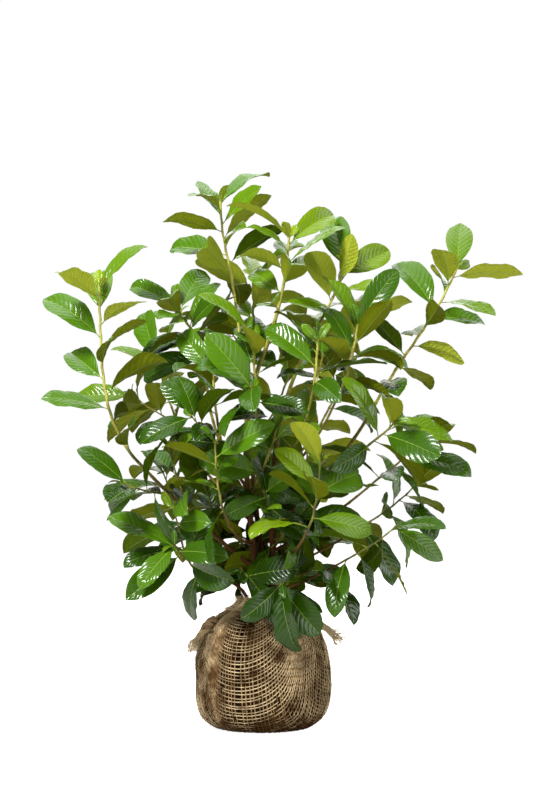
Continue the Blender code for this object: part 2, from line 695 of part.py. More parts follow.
# ---------------------------------------------------------------- the whole plant


def main():
    clear_scene()
    plant = new_collection("laurel_on_root_ball")
    cutters = new_collection("cutters")
    build_root_ball(plant)
    build_collar(plant)
    build_knots(plant, cutters)
    build_stems(plant)
    build_boughs(plant, cutters)
    for obj in plant.objects:
        add_mesh_to_crowd(obj.name, obj.data, LEAF_CLEARANCE)
    plan_masses()
    for mass in MASSES:
        build_mass(mass, plant, cutters)


main()
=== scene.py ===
"""A young cherry laurel with its hessian-wrapped root ball, finished piece by piece.

Metres, +Z up. The origin is the centre of the ball's flat underside, -Y is the front.
"""

import json
import math
import random
from collections import namedtuple

import bpy
import numpy as np
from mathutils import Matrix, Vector
from mathutils.kdtree import KDTree

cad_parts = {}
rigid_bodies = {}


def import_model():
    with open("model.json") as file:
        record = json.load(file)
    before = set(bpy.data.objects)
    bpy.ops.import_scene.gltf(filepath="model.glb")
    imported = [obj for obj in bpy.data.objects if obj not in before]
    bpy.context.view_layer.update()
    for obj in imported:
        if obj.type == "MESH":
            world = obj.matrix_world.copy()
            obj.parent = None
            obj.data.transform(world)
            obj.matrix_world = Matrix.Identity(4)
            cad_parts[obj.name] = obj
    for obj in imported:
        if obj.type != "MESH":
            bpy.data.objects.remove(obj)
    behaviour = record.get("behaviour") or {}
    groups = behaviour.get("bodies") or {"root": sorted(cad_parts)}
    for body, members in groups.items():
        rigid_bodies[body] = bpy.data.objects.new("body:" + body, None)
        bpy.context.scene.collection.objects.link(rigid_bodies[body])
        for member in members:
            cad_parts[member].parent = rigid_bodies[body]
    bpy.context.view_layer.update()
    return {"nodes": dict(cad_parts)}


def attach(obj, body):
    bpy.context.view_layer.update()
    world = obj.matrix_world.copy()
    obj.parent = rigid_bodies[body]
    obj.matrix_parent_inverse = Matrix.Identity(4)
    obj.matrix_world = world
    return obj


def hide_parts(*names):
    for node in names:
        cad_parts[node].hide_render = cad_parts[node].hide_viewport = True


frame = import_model()


# ---------------------------------------------------------------- the ball of soil
# Damp loam that came up with the roots in it. It was packed by hand into a sack, so it is
# wide and nearly flat underneath, domed above, and shows dark brown between the threads.

BALL_RADIUS = 0.137
BALL_WIDEST = 0.095  # the height of its widest part
BALL_RISE, BALL_DROP = 0.150, 0.105  # of the rounded square above and below that
BALL_TOP = 0.240
BALL_SQUARENESS = 2.65  # above the widest part
BASE_SQUARENESS = 3.35  # below it, where the ball has settled under its weight
OUTLINE_POINTS = 1801
OUTLINE_STEP = 0.003  # over which the outline's slope is taken
BALL_LUMP = 0.0030
CREASE_BEARING = -1.43
CREASE_HALF_ANGLE = 0.16
CREASE_DEPTH = 1.6  # beside a lump
SOIL_INSET = 0.0036
SOIL_RINGS, SOIL_SIDES = 110, 288
POLE_GAP = 0.004  # along the outline, from a pole to its nearest ring
CLOD_DEPTH = 0.0011
CLODS, CRUMBS = (0.6, 0.026), (0.4, 0.009)  # their shares of that and their pitches
PITCH_PLAY = (0.7, 1.4)  # of a bumpy surface's waves
CLEFT_BEARING = math.radians(-110)  # of the crack that opened up the ball's front
CLEFT_START, CLEFT_RUN = 0.13, 0.03  # up the outline, and how soon it is fully open
CLEFT_DEPTH, CLEFT_GIRTH = 0.014, 0.0052

slopes = np.linspace(-np.pi / 2, np.pi / 2, OUTLINE_POINTS)
squared = 2 / np.where(slopes > 0, BALL_SQUARENESS, BASE_SQUARENESS)
profile_radii = BALL_RADIUS * np.cos(slopes).clip(0) ** squared
bulge = np.sign(slopes) * np.abs(np.sin(slopes)) ** squared * np.where(slopes > 0, BALL_RISE, BALL_DROP)
profile_heights = (BALL_WIDEST + bulge).clip(0, BALL_TOP)
profile_reach = np.concatenate([[0], np.cumsum(np.hypot(np.diff(profile_radii), np.diff(profile_heights)))])


def bell(ratio):
    """A bump one high: e to the power of minus the ratio squared."""
    return np.exp(-(ratio**2))


def wound(angle):
    """The same angle between minus and plus half a turn."""
    return np.angle(np.exp(1j * angle))


def polar_point(bearing, radius, height):
    """The point at a bearing and a distance from the upright axis, at a height."""
    bearing, radius, height = np.broadcast_arrays(bearing, radius, height)
    return np.stack([np.cos(bearing) * radius, np.sin(bearing) * radius, height], -1)


def outline_at(reach):
    """The radius and the height at a distance up the ball's outline."""
    return np.array([np.interp(reach, profile_reach, curve) for curve in (profile_radii, profile_heights)])


def ball_point(bearing, reach, out=0):
    """The sack's surface, by bearing and by distance up its outline from the middle of its
    underside: a rounded-square outline turned about the axis, lumped, and moved out along
    the outline's normal."""
    radius, height = outline_at(reach)
    run, rise = outline_at(reach + OUTLINE_STEP) - outline_at(reach - OUTLINE_STEP)
    size = np.hypot(rise, run).clip(1e-9)
    belly = np.sin(np.pi * height / BALL_TOP)
    wave = np.sin(3 * bearing + 0.6) + 0.7 * np.sin(5 * bearing + 25 * height)
    crease = bell(wound(bearing - CREASE_BEARING) / CREASE_HALF_ANGLE)
    lump = BALL_LUMP * belly * (wave - CREASE_DEPTH * crease)
    radius = (radius + lump * np.minimum(radius / BALL_RADIUS, 1) + out * rise / size).clip(0)
    return polar_point(bearing, radius, height - out * run / size)


def rumple(points, pitch, seed, waves=14):
    """A bumpy number between about -1 and 1 for each point: the mean of sine waves of about
    that pitch that run in random directions."""
    dice = np.random.default_rng(seed)
    ways = dice.normal(size=(waves, 3))
    ways *= 2 * np.pi / pitch * dice.uniform(*PITCH_PLAY, (waves, 1)) / np.linalg.norm(ways, axis=1)[:, None]
    return np.sin(points @ ways.T + dice.uniform(0, 2 * np.pi, waves)).sum(-1) / math.sqrt(waves)


def grid_quads(rows, columns):
    """The four corners of each face of a grid of points, whose rows close into rings."""
    row, column = np.meshgrid(np.arange(rows - 1) * columns, np.arange(columns), indexing="ij")
    after = (column + 1) % columns
    corners = row + column, row + after, row + columns + after, row + columns + column
    return np.stack(corners, -1).reshape(-1, 4)


def ring_fan(pole, first, sides, outward):
    """The three-cornered faces that close a ring of points onto its pole."""
    ring = first + np.arange(sides)
    after = np.roll(ring, -1)
    return np.stack([np.full(sides, pole), *((ring, after) if outward else (after, ring))], -1)


def add_piece(name, finishes, points, quads, fans=()):
    """An object whose mesh holds the points, the four-cornered faces, and the three-cornered
    faces of its closed ends."""
    mesh = bpy.data.meshes.new(name)
    fans = np.asarray(fans, int).reshape(-1, 3)
    mesh.from_pydata(points.reshape(-1, 3), [], [*quads.tolist(), *fans.tolist()])
    mesh.shade_smooth()
    for finish in finishes:
        mesh.materials.append(finish)
    piece = bpy.data.objects.new(name, mesh)
    bpy.context.scene.collection.objects.link(piece)
    return piece


def new_finish(name):
    """An empty finish: its material, its node tree and its Principled shader."""
    finish = bpy.data.materials.new(name)
    finish.use_nodes = True
    return finish, finish.node_tree, finish.node_tree.nodes["Principled BSDF"]


def feed(node, **inputs):
    """Gives a node's named inputs a value each, or links a socket to them."""
    for name, given in inputs.items():
        socket = node.inputs[name.replace("_", " ")]
        if isinstance(given, bpy.types.NodeSocket):
            node.id_data.links.new(given, socket)
        else:
            socket.default_value = given


def put(tree, kind, *inputs, out=0, **settings):
    """One output of a new node in a tree, or with no output asked for, the node. Its inputs
    come in their order or by name, and the other settings are its own."""
    node = tree.nodes.new("ShaderNode" + kind)
    own = {name: setting for name, setting in settings.items() if hasattr(node, name)}
    for name, setting in own.items():
        setattr(node, name, setting)
    for socket, given in zip(node.inputs, inputs):
        if isinstance(given, bpy.types.NodeSocket):
            tree.links.new(given, socket)
        else:
            socket.default_value = given
    feed(node, **{name: setting for name, setting in settings.items() if name not in own})
    return node if out is None else node.outputs[out]


def put_ramp(tree, factor, *stops):
    """A colour ramp on a factor, with (place, colour) stops."""
    ramp = put(tree, "ValToRGB", factor, out=None)
    band = ramp.color_ramp.elements
    while len(band) < len(stops):
        band.new(0.5)
    for element, (place, colour) in zip(band, stops):
        element.position = place
        element.color = (*colour, 1)
    return ramp.outputs["Color"]


damp_loam, tree, shader = new_finish("damp_loam")
place = put(tree, "TexCoord", out="Object")
soil_colour = put_ramp(
    tree,
    put(tree, "TexNoise", place, Scale=22, Detail=5, Roughness=0.65),
    (0.34, (0.010, 0.005, 0.001)),
    (0.54, (0.024, 0.012, 0.003)),
    (0.68, (0.044, 0.023, 0.007)),
    (0.84, (0.080, 0.044, 0.016)),
)
crumbs = put(tree, "TexNoise", place, Scale=260, Detail=6, Roughness=0.7)
relief = put(tree, "Bump", Height=crumbs, Strength=0.8, Distance=0.002)
feed(shader, Base_Color=soil_colour, Normal=relief, Roughness=0.95, Specular_IOR_Level=0.05)

reaches = np.linspace(POLE_GAP, profile_reach[-1] - POLE_GAP, SOIL_RINGS)[:, None]
bearings = np.linspace(-np.pi, np.pi, SOIL_SIDES, endpoint=False)
soil_points = ball_point(bearings, reaches, -SOIL_INSET)
clods = CLODS[0] * rumple(soil_points, CLODS[1], 1) + CRUMBS[0] * rumple(soil_points, CRUMBS[1], 2)
opened = ((reaches - CLEFT_START) / CLEFT_RUN).clip(0, 1)
cleft = CLEFT_DEPTH * bell((bearings - CLEFT_BEARING) * BALL_RADIUS / CLEFT_GIRTH) * opened
soil_points = ball_point(bearings, reaches, -SOIL_INSET + CLOD_DEPTH * clods.clip(-1.5, 1) - cleft)
poles = [[0, 0, SOIL_INSET], [0, 0, BALL_TOP - SOIL_INSET]]
pole = SOIL_RINGS * SOIL_SIDES
root_ball = add_piece(
    "root_ball_soil",
    [damp_loam],
    np.concatenate([soil_points.reshape(-1, 3), poles]),
    grid_quads(SOIL_RINGS, SOIL_SIDES),
    [*ring_fan(pole, 0, SOIL_SIDES, False), *ring_fan(pole + 1, pole - SOIL_SIDES, SOIL_SIDES, True)],
)
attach(root_ball, "root")
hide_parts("root_ball")


# ---------------------------------------------------------------- the hessian wrap
# One square of coarse jute cloth, woven over and under with open gaps. The ball stood on its
# middle, its four sides were drawn straight up, and the spare cloth bunched at its diagonals.

CLOTH_PITCH = 0.0074  # between neighbouring threads in the flat cloth
CLOTH_REACH = profile_reach[-1] - 0.046  # of the cloth from its middle, where it ends at the neck
THREAD_WIDTH, THREAD_DEPTH = 0.0019, 0.0011
THREAD_GIRTHS = (0.72, 1.22)  # from the thinnest thread to the fattest
GIRTH_PLAY = (0.85, 1.15)  # of a thread's girth from crossing to crossing
WEAVE_RISE = 0.00055  # of a thread over and under the ones it crosses
CLOTH_INSET = 0.0021
SIDE_BEARINGS = np.radians([-110, -10, 85, 178])  # of the middle of each side, drawn straight up
FOLD_BEARINGS = np.radians([-60, 40, 130, 224])  # of the diagonal that follows each side
FOLD_LIFTS = np.array([0.050, 0.030, 0.025, 0.006])  # how far each diagonal was pulled higher
LIFT_START = 0.15  # from the cloth's middle, where the pull begins to tell
BUNCHING = 3  # how sharply the cloth turns from flat to bunched
SLACK, SWAYS = 0.0011, 0.21  # how far threads wander, and how often
CLOTH_LUMP, LUMP_PITCH = 0.0009, 0.030  # over the clods beneath
LUMP_START, LUMP_RUN = 0.09, 0.04  # off the flat underside
LIFT_RUN, FULL_LIFT = 0.10, 1.3
DROPPED_THREAD = 0  # the warp thread that was pulled out, which left a ladder
LADDER_CLOSING = 0.0005  # how far its neighbours have moved in
PLEATS, PLEAT_DEPTH, PLEAT_START = 15, 0.0022, 0.30  # where the cloth is drawn in to the neck
SMEARS = (  # where wet soil was pressed through: the place and how far it spread
    ((-0.014, -0.108, 0.205), 0.040),
    ((0.046, -0.130, 0.160), 0.028),
    ((0.062, -0.118, 0.050), 0.038),
    ((0.116, -0.074, 0.150), 0.016),
    ((-0.086, -0.070, 0.200), 0.042),
    ((-0.100, -0.092, 0.131), 0.040),
    ((-0.100, -0.086, 0.070), 0.040),
    ((-0.128, -0.040, 0.110), 0.080),
    ((0.060, 0.120, 0.120), 0.050),
    ((-0.080, 0.110, 0.070), 0.040),
)
SMEAR_SOIL, FLOOR_DARKENING = 0.17, 0.24  # how much soil a smear holds, and how much darker the cloth is at the floor
DARKENED_HEIGHT = 0.045


def new_group(name, inputs, outputs):
    """An empty node group, what it is given, and its output node. Its sockets are told as
    names with their kinds."""
    group = bpy.data.node_groups.new(name, "ShaderNodeTree")
    for way, sockets in (("INPUT", inputs), ("OUTPUT", outputs)):
        for label, kind in sockets.items():
            group.interface.new_socket(label, in_out=way, socket_type="NodeSocket" + kind)
    return group, group.nodes.new("NodeGroupInput").outputs, group.nodes.new("NodeGroupOutput")


def maths(tree, operation, *inputs):
    """The result of one sum on values or sockets."""
    return put(tree, "Math", *inputs, operation=operation)


# The look of jute: straw colour that turns brown where soil has stained it and darker towards the floor, and
# a hairy relief.
jute_told = {"Straw": "Color", "Stain": "Color", "Stained": "Float"}
jute_fibre, given, made = new_group("jute_fibre", jute_told, {"Color": "Color", "Height": "Float"})
place = put(jute_fibre, "TexCoord", out="Object")
blots = put(jute_fibre, "TexNoise", place, Scale=30, Detail=5, Roughness=0.62)
level = put(jute_fibre, "SeparateXYZ", place, out="Z")
# The cloth turns darker towards the floor, below the given height.
wet = maths(jute_fibre, "ADD", blots, put(jute_fibre, "MapRange", level, 0, DARKENED_HEIGHT, FLOOR_DARKENING, 0))
for spot, spread in SMEARS:
    far = put(jute_fibre, "VectorMath", place, spot, operation="DISTANCE", out="Value")
    wet = maths(jute_fibre, "ADD", wet, put(jute_fibre, "MapRange", far, 0, spread, SMEAR_SOIL, 0))
wet = maths(jute_fibre, "ADD", wet, given["Stained"])
blend = put(jute_fibre, "Mix", put(jute_fibre, "MapRange", wet, 0.46, 0.72, 0, 1), data_type="RGBA", out=None)
jute_fibre.links.new(given["Straw"], blend.inputs[6])
jute_fibre.links.new(given["Stain"], blend.inputs[7])
flecks = put(jute_fibre, "TexNoise", place, Scale=420, Detail=3, Roughness=0.7)
light = put(jute_fibre, "MapRange", flecks, 0.3, 0.7, 0.62, 1.30)
shade = put(jute_fibre, "VectorMath", blend.outputs[2], Scale=light, operation="SCALE")
feed(made, Color=shade, Height=flecks)


def jute_finish(name, straw, stain, stained):
    """Matt jute of a straw colour, stained with soil."""
    finish, tree, shader = new_finish(name)
    fibre = put(
        tree, "Group", node_tree=jute_fibre, Straw=(*straw, 1), Stain=(*stain, 1), Stained=stained, out=None
    ).outputs
    relief = put(tree, "Bump", Height=fibre["Height"], Strength=0.6, Distance=0.0008)
    feed(shader, Base_Color=fibre["Color"], Normal=relief, Roughness=0.9, Specular_IOR_Level=0.1)
    return finish


def unit(ways):
    """The same directions, one long."""
    return ways / np.linalg.norm(ways, axis=-1, keepdims=True).clip(1e-30)


def eased(ratio):
    """Rises as the ratio does while that is small, and levels off at one."""
    return ratio / (1 + np.abs(ratio) ** BUNCHING) ** (1 / BUNCHING)


def cloth_point(warp, weft, out=0.0):
    """Where a point of the flat cloth lies on the ball. Up the middle of each side the threads
    stay as far apart as they were in the flat cloth, and towards the diagonals they crowd, so
    its bearing is the side's own and its share of the way to the diagonal, eased. Its distance
    from the middle goes up the ball's outline. Towards the neck the cloth pleats."""
    angle = np.arctan2(warp, weft)
    side = np.round(angle / (np.pi / 2)).astype(int)
    off = angle - side * np.pi / 2
    side = side % 4
    ahead = off > 0
    fold = np.where(ahead, side, (side - 1) % 4)
    width = np.abs(wound(FOLD_BEARINGS[fold] - SIDE_BEARINGS[side]))
    reach = np.hypot(warp, weft)
    room = BALL_RADIUS * width
    share = eased(reach * np.abs(np.sin(off)) / room)
    share = share / eased(reach * np.cos(off).clip(1e-6) / room).clip(1e-6)
    bearing = SIDE_BEARINGS[side] + np.where(ahead, 1, -1) * width * share
    pull = ((reach - LIFT_START) / LIFT_RUN).clip(0, FULL_LIFT)
    reach = reach + FOLD_LIFTS[fold] * share**2 * pull * (3 - pull) / 2
    near_neck = ((reach - PLEAT_START) / (CLOTH_REACH - PLEAT_START)).clip(0, 1)
    pleat = PLEAT_DEPTH * near_neck * np.sin(PLEATS * bearing + 2.5 * np.sin(2 * bearing))
    lump = CLOTH_LUMP * rumple(ball_point(bearing, reach), LUMP_PITCH, 8)
    lump = lump * ((reach - LUMP_START) / LUMP_RUN).clip(0, 1)
    return ball_point(bearing, reach, out - CLOTH_INSET + pleat + lump), reach


def weave(name, finish, crosswise, seed):
    """All the threads that run one way, as flat four-sided strips. Each has a ring of points
    where it crosses a thread of the other way, over and under by turns."""
    half = int(CLOTH_REACH / CLOTH_PITCH)
    count = np.arange(-half, half + 1)
    thread, crossing = np.meshgrid(count, count, indexing="ij")
    dice = np.random.default_rng(seed)
    drift = dice.normal(0, 0.5, len(count))[:, None] * SLACK
    wander = SLACK * np.sin(crossing * SWAYS + dice.uniform(0, 6.28, len(count))[:, None])
    across = thread * CLOTH_PITCH + drift + wander
    if not crosswise:
        apart = thread - DROPPED_THREAD
        across = across - LADDER_CLOSING * np.sign(apart) * np.exp(1 - np.abs(apart))
    along = crossing * CLOTH_PITCH + dice.normal(0, 0.25, thread.shape) * SLACK
    over = WEAVE_RISE * np.where((thread + crossing + crosswise) % 2 == 0, 1, -1)

    def at(across, along, out=0):
        return cloth_point(along, across, out) if crosswise else cloth_point(across, along, out)

    step = CLOTH_PITCH / 2
    centre, reach = at(across, along, over)
    forward = unit(at(across, along + step)[0] - at(across, along - step)[0])
    normal = unit(at(across, along, 0.001)[0] - at(across, along)[0])
    girth = dice.uniform(*THREAD_GIRTHS, len(count))[:, None] * dice.uniform(*GIRTH_PLAY, thread.shape)
    side = np.cross(forward, normal) * THREAD_WIDTH / 2 * girth[..., None]
    normal = normal * THREAD_DEPTH / 2
    ring = np.stack([centre + side, centre + normal, centre - side, centre - normal], -2)
    kept = reach < CLOTH_REACH
    if not crosswise:
        kept &= thread != DROPPED_THREAD
    number = (np.cumsum(kept.ravel()).reshape(kept.shape) - 1)[..., None] * 4 + np.arange(4)
    here, there = kept[:, :-1], kept[:, 1:]
    near, far = (end[here & there] for end in (number[:, :-1], number[:, 1:]))
    quads = np.stack([np.roll(near, -1, 1), near, far, np.roll(far, -1, 1)], -1).reshape(-1, 4)
    caps = number[:, 1:][there & ~here], number[:, :-1][here & ~there][:, ::-1]
    return add_piece(name, [finish], ring[kept], np.concatenate([quads, *caps]))


for name, crosswise, seed, straw in (
    ("hessian_warp", False, 5, (0.358, 0.234, 0.112)),
    ("hessian_weft", True, 6, (0.612, 0.476, 0.280)),
):
    jute = jute_finish(name.replace("hessian", "jute"), straw, (0.095, 0.047, 0.015), 0.01)
    threads = weave(name, jute, crosswise, seed)
    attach(threads, "root")


# ---------------------------------------------------------------- the gathered neck
# The cloth's rim, drawn together round the stems. It stands up in pleats, highest at the
# front left. Pale threads cross over a double layer whose darker brown is painted shade
# beneath them, and the cut edge has frayed.

COLLAR_RINGS, COLLAR_SIDES = 16, 288
INNER_LAYER = np.array([0.968, 0.968, 1])  # beside the outer one
COLLAR_PLEATS, SMALL_PLEATS = 17, 29
PLEAT_DEPTHS = (0.0006, 0.0036)  # where it leaves the ball, and what the way up adds
SMALL_PLEAT_SHARE = 0.45
LIP_ROLL, LIP_ROLL_START = 0.006, 0.75  # outwards
LIP_WAVE, PLEAT_RISE = 0.0016, 0.0012  # up and down round the lip, and with its pleats
COLLAR_GIRTHS = (0.074, 0.041)  # radii where it leaves the ball and at its lip
COLLAR_HEIGHTS = (0.2372, 0.2535)
LIP_RISE = 0.0065  # of the pulled-up part over the rest
LIP_BEARING = math.radians(-128)
NECK_THREADS, NECK_HOOPS = 104, 8  # up the collar and round it
NECK_THREAD_GIRTH, NECK_GIRTH_PLAY, NECK_SWAY = 0.00085, (0.7, 1.25), 0.03
HOOP_LEVELS, FRAY_LEVEL = (0.06, 0.97), 0.97  # up the collar
FRINGE, FRINGE_LENGTHS, FRINGE_GIRTH = 170, (0.005, 0.016), 0.0005
FRINGE_RISES, FRINGE_PLAY = (-0.3, 1.1), 0.35
HAIRS, HAIR_LENGTHS, HAIR_GIRTH = 900, (0.003, 0.010), 0.00018  # that stand off the cloth all round
HAIR_START, HAIR_PLAY = 0.13, 0.6
THREAD_STEPS, THREAD_DROOP = 6, 0.4
THREAD_CURL, THREAD_KINKS = 0.32, 0.10


def collar_point(bearing, share):
    """The cloth's sheet at the neck: from the ball it curves up and in to its lip, pleated
    more and more, with a fold that rolls outwards at the top."""
    pleat = np.sin(COLLAR_PLEATS * bearing + 1.4 * np.sin(3 * bearing))
    pleat = pleat + SMALL_PLEAT_SHARE * np.sin(SMALL_PLEATS * bearing + 2 * np.cos(2 * bearing))
    lift = LIP_RISE * np.exp(2.2 * (np.cos(bearing - LIP_BEARING) - 1))
    radius = COLLAR_GIRTHS[0] + (COLLAR_GIRTHS[1] - COLLAR_GIRTHS[0]) * share**0.75
    radius = radius + (PLEAT_DEPTHS[0] + PLEAT_DEPTHS[1] * share) * pleat
    radius = radius + LIP_ROLL * (share - LIP_ROLL_START).clip(0)
    height = COLLAR_HEIGHTS[0] + (COLLAR_HEIGHTS[1] - COLLAR_HEIGHTS[0] + lift) * share**1.4
    height = height + LIP_WAVE * share * np.sin(11 * bearing + 1) + PLEAT_RISE * share * pleat
    return polar_point(bearing, radius, height)


def tubes(paths, girths, sides):
    """Closed tubes along many lines at once. paths is lines by points, girths gives a radius
    for each point, or for each point and side. Each ring stands square to its line. Returns
    the points, the four-cornered faces and the three-cornered ones."""
    paths = np.asarray(paths, float)
    lines, steps = paths.shape[:2]
    ahead = unit(np.gradient(paths, axis=1))
    side = unit(np.cross(ahead, np.cross(paths[:, -1:] - paths[:, :1], [0.31, 0.83, 0.47])))
    other = np.cross(ahead, side)
    turn = (2 * np.pi * np.arange(sides) / sides)[:, None]
    spokes = side[:, :, None] * np.cos(turn) + other[:, :, None] * np.sin(turn)
    girths = np.asarray(girths, float).reshape(lines, steps, -1, 1)
    rings = paths[:, :, None] + spokes * girths
    tips = paths[:, [0, -1]] + ahead[:, [0, -1]] * [[-0.4], [0.4]] * girths[:, [0, -1]].mean(2)
    points = np.concatenate([rings.reshape(lines, -1, 3), tips], 1)
    held = steps * sides
    offset = (np.arange(lines) * (held + 2))[:, None, None]
    fans = np.concatenate([ring_fan(held, 0, sides, False), ring_fan(held + 1, held - sides, sides, True)])
    return points, (grid_quads(steps, sides) + offset).reshape(-1, 4), (fans + offset).reshape(-1, 3)


def loose_threads(roots, ways, lengths, girth, seed):
    """Lines for frayed threads, and their radii: each leaves its root along its way, curls at
    random and sags."""
    dice = np.random.default_rng(seed)
    count = len(roots)
    share = np.linspace(0, 1, THREAD_STEPS)[:, None]
    curl = dice.normal(0, THREAD_CURL, (count, 1, 3)) * share**2
    curl = curl + dice.normal(0, THREAD_KINKS, (count, THREAD_STEPS, 3)) * share
    line = roots[:, None] + (ways[:, None] * share + curl) * lengths[:, None, None]
    line[..., 2] = (line[..., 2] - THREAD_DROOP * lengths[:, None] * share[:, 0] ** 2).clip(0.001)
    return line, girth * np.linspace(1, 0.6, THREAD_STEPS) * np.ones((count, 1))


bearings = np.linspace(-np.pi, np.pi, COLLAR_SIDES, endpoint=False)
outer = collar_point(bearings, np.linspace(0, 1, COLLAR_RINGS)[:, None])
layers = np.concatenate([outer, (outer * INNER_LAYER)[::-1]])
quads = grid_quads(len(layers) + 1, COLLAR_SIDES) % (len(layers) * COLLAR_SIDES)  # closed both ways
# The sheet's brown, darker than the threads, is painted shade under the threads that cross it.
cloth_jute = jute_finish("cloth_jute", (0.20, 0.135, 0.075), (0.07, 0.036, 0.016), 0.03)
neck_collar = add_piece("gathered_neck", [cloth_jute], layers, quads)
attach(neck_collar, "root")
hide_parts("neck_collar")

pale_jute = jute_finish("pale_jute", (0.62, 0.49, 0.28), (0.17, 0.09, 0.035), -0.01)
dice = np.random.default_rng(11)
share = np.linspace(0, 1, 2 * NECK_HOOPS)
bearing = np.linspace(-np.pi, np.pi, NECK_THREADS, endpoint=False)[:, None]
bearing = bearing + dice.normal(0, 0.010, (NECK_THREADS, 1)) + NECK_SWAY * share * np.sin(5 * bearing)
around = np.linspace(-np.pi, np.pi, 2 * COLLAR_SIDES)
level = np.linspace(*HOOP_LEVELS, NECK_HOOPS)[:, None] + dice.normal(0, 0.012, (NECK_HOOPS, 1))
neck_lines = collar_point(bearing, share), collar_point(around, level + 0.02 * np.sin(3 * around + 4 * level))
upright, hoops = (
    (lines, NECK_THREAD_GIRTH * dice.uniform(*NECK_GIRTH_PLAY, (len(lines), 1)) * np.ones(lines.shape[1]))
    for lines in neck_lines
)

dice = np.random.default_rng(12)
fray = dice.uniform(-np.pi, np.pi, FRINGE)
fringe_ways = polar_point(fray, 1, dice.uniform(*FRINGE_RISES, FRINGE))
fringe_ways = fringe_ways + dice.normal(0, FRINGE_PLAY, (FRINGE, 3))
fringe_roots = collar_point(fray, np.full(FRINGE, FRAY_LEVEL))
fringe = loose_threads(fringe_roots, fringe_ways, dice.uniform(*FRINGE_LENGTHS, FRINGE), FRINGE_GIRTH, 13)

dice = np.random.default_rng(14)
spots = dice.uniform(-np.pi, np.pi, HAIRS), dice.uniform(HAIR_START, CLOTH_REACH, HAIRS)
hair_ways = 0.5 * (ball_point(*spots, 1.0) - ball_point(*spots)) + dice.normal(0, HAIR_PLAY, (HAIRS, 3))
hair_roots = ball_point(*spots, -CLOTH_INSET)
hairs = loose_threads(hair_roots, hair_ways, dice.uniform(*HAIR_LENGTHS, HAIRS), HAIR_GIRTH, 15)

for name, lines, girths, sides in (
    ("neck_threads", *upright, 5),
    ("neck_hoops", *hoops, 5),
    ("neck_fringe", *fringe, 4),
    ("cloth_hairs", *hairs, 3),
):
    threads = add_piece(name, [pale_jute], *tubes(lines, girths, sides))
    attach(threads, "root")


# ---------------------------------------------------------------- the knotted corners
# Two corners of the cloth, each twisted into a rope and tucked down over the shoulder of the
# ball. Past the twist the weave has come undone into a pale brush of threads.

UP = Vector((0, 0, 1))
STUB = 0.005

Knot = namedtuple("Knot", "node name root elbow tip")
KNOTS = (  # in millimetres
    Knot("knot_left", "twisted_corner_left", (-92, -36, 212), (-122, -52, 206), (-142, -58, 160)),
    Knot("knot_right", "twisted_corner_right", (88, -34, 220), (118, -50, 214), (156, -58, 182)),
)
KNOT_GIRTHS = (0.0160, 0.0034)
KNOT_STRANDS, KNOT_STEPS = 44, 26
KNOT_TURNS, TURNS_PLAY = 1.1, (0.7, 1.3)
STRAND_PLACES, STRAND_PLAY = (0.05, 0.72), (0.75, 1.25)  # out from the middle, and of the girth
STRAND_GIRTH = 0.0024  # at the root, where it is a fold of cloth
THREAD_GIRTH = 0.0006  # at the tip, where it is a bare thread
FRAY_START, FRAY_SPREAD = 0.45, 0.015
FRAY_LENGTHS = (-0.012, 0.006)  # beside the line's own end
FRAY_KINKS = 0.0006
PALE_BELOW = 0.012  # under the corner's root, where the clean threads begin


def metres(*millimetres):
    """A place told in millimetres."""
    return Vector([measure / 1000 for measure in millimetres])


def path_between(start, end, bow, lead=None, steps=5):
    """Points of a cubic from start to end, bent by bow to the lower side of its chord. With a
    lead it leaves straight along that direction for a stub first."""
    points = []
    if lead is not None:
        points.append(start)
        start = start + lead * STUB
    span = end - start
    chord = span.normalized()
    elbow = (start + end) / 2 + (-UP + UP.dot(chord) * chord).normalized() * bow * span.length * 2
    handle_out = start + (elbow - start) * 2 / 3
    handle_in = end + (elbow - end) * 2 / 3
    if lead is not None:
        handle_out = start + lead * (handle_out - start).length
    for step in range(steps + 1):
        t = step / steps
        s = 1 - t
        points.append(s**3 * start + 3 * s * s * t * handle_out + 3 * s * t * t * handle_in + t**3 * end)
    return points


def twisted_strands(knot, seed):
    """Folds of cloth that wind round the corner's line inside its girth, thin to threads and
    spread apart where the weave has come undone. Returns their lines and radii."""
    root, elbow, tip = (metres(*corner) for corner in (knot.root, knot.elbow, knot.tip))
    line = np.array(path_between(root, tip, 0, (elbow - root).normalized(), KNOT_STEPS - 2))
    dice = np.random.default_rng(seed)

    def each(low, high):
        return dice.uniform(low, high, (KNOT_STRANDS, 1))

    share = np.linspace(0, 1, KNOT_STEPS)
    turn = each(0, 2 * np.pi) + 2 * np.pi * KNOT_TURNS * each(*TURNS_PLAY) * share
    girth = KNOT_GIRTHS[0] + (KNOT_GIRTHS[1] - KNOT_GIRTHS[0]) * share**0.8
    loose = ((share - FRAY_START) / (1 - FRAY_START)).clip(0, 1) ** 1.5
    spread = girth * np.sqrt(each(*STRAND_PLACES)) * (1 - 0.3 * share) + loose * each(0, FRAY_SPREAD)
    ahead = unit(np.gradient(line, axis=0))
    side = unit(np.cross(ahead, [0.2, 1, 0.3]))
    other = np.cross(ahead, side)
    lines = line + side * (spread * np.cos(turn))[..., None] + other * (spread * np.sin(turn))[..., None]
    lines = lines + ahead[-1] * (loose * each(*FRAY_LENGTHS))[..., None]
    lines = lines + dice.normal(0, FRAY_KINKS, lines.shape) * np.sqrt(share)[:, None]
    thin = (share / FRAY_START).clip(0, 1) ** 1.2
    return lines, (STRAND_GIRTH + (THREAD_GIRTH - STRAND_GIRTH) * thin) * each(*STRAND_PLAY)


stained_jute = jute_finish("stained_jute", (0.30, 0.20, 0.11), (0.075, 0.038, 0.016), 0.06)
for knot in KNOTS:
    strands = tubes(*twisted_strands(knot, len(knot.name)), 6)
    corner = add_piece(knot.name, [stained_jute, pale_jute], *strands)
    pale = [int(face.center.z < knot.root[2] / 1000 - PALE_BELOW) for face in corner.data.polygons]
    corner.data.polygons.foreach_set("material_index", pale)
    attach(corner, "root")
    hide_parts(knot.node)


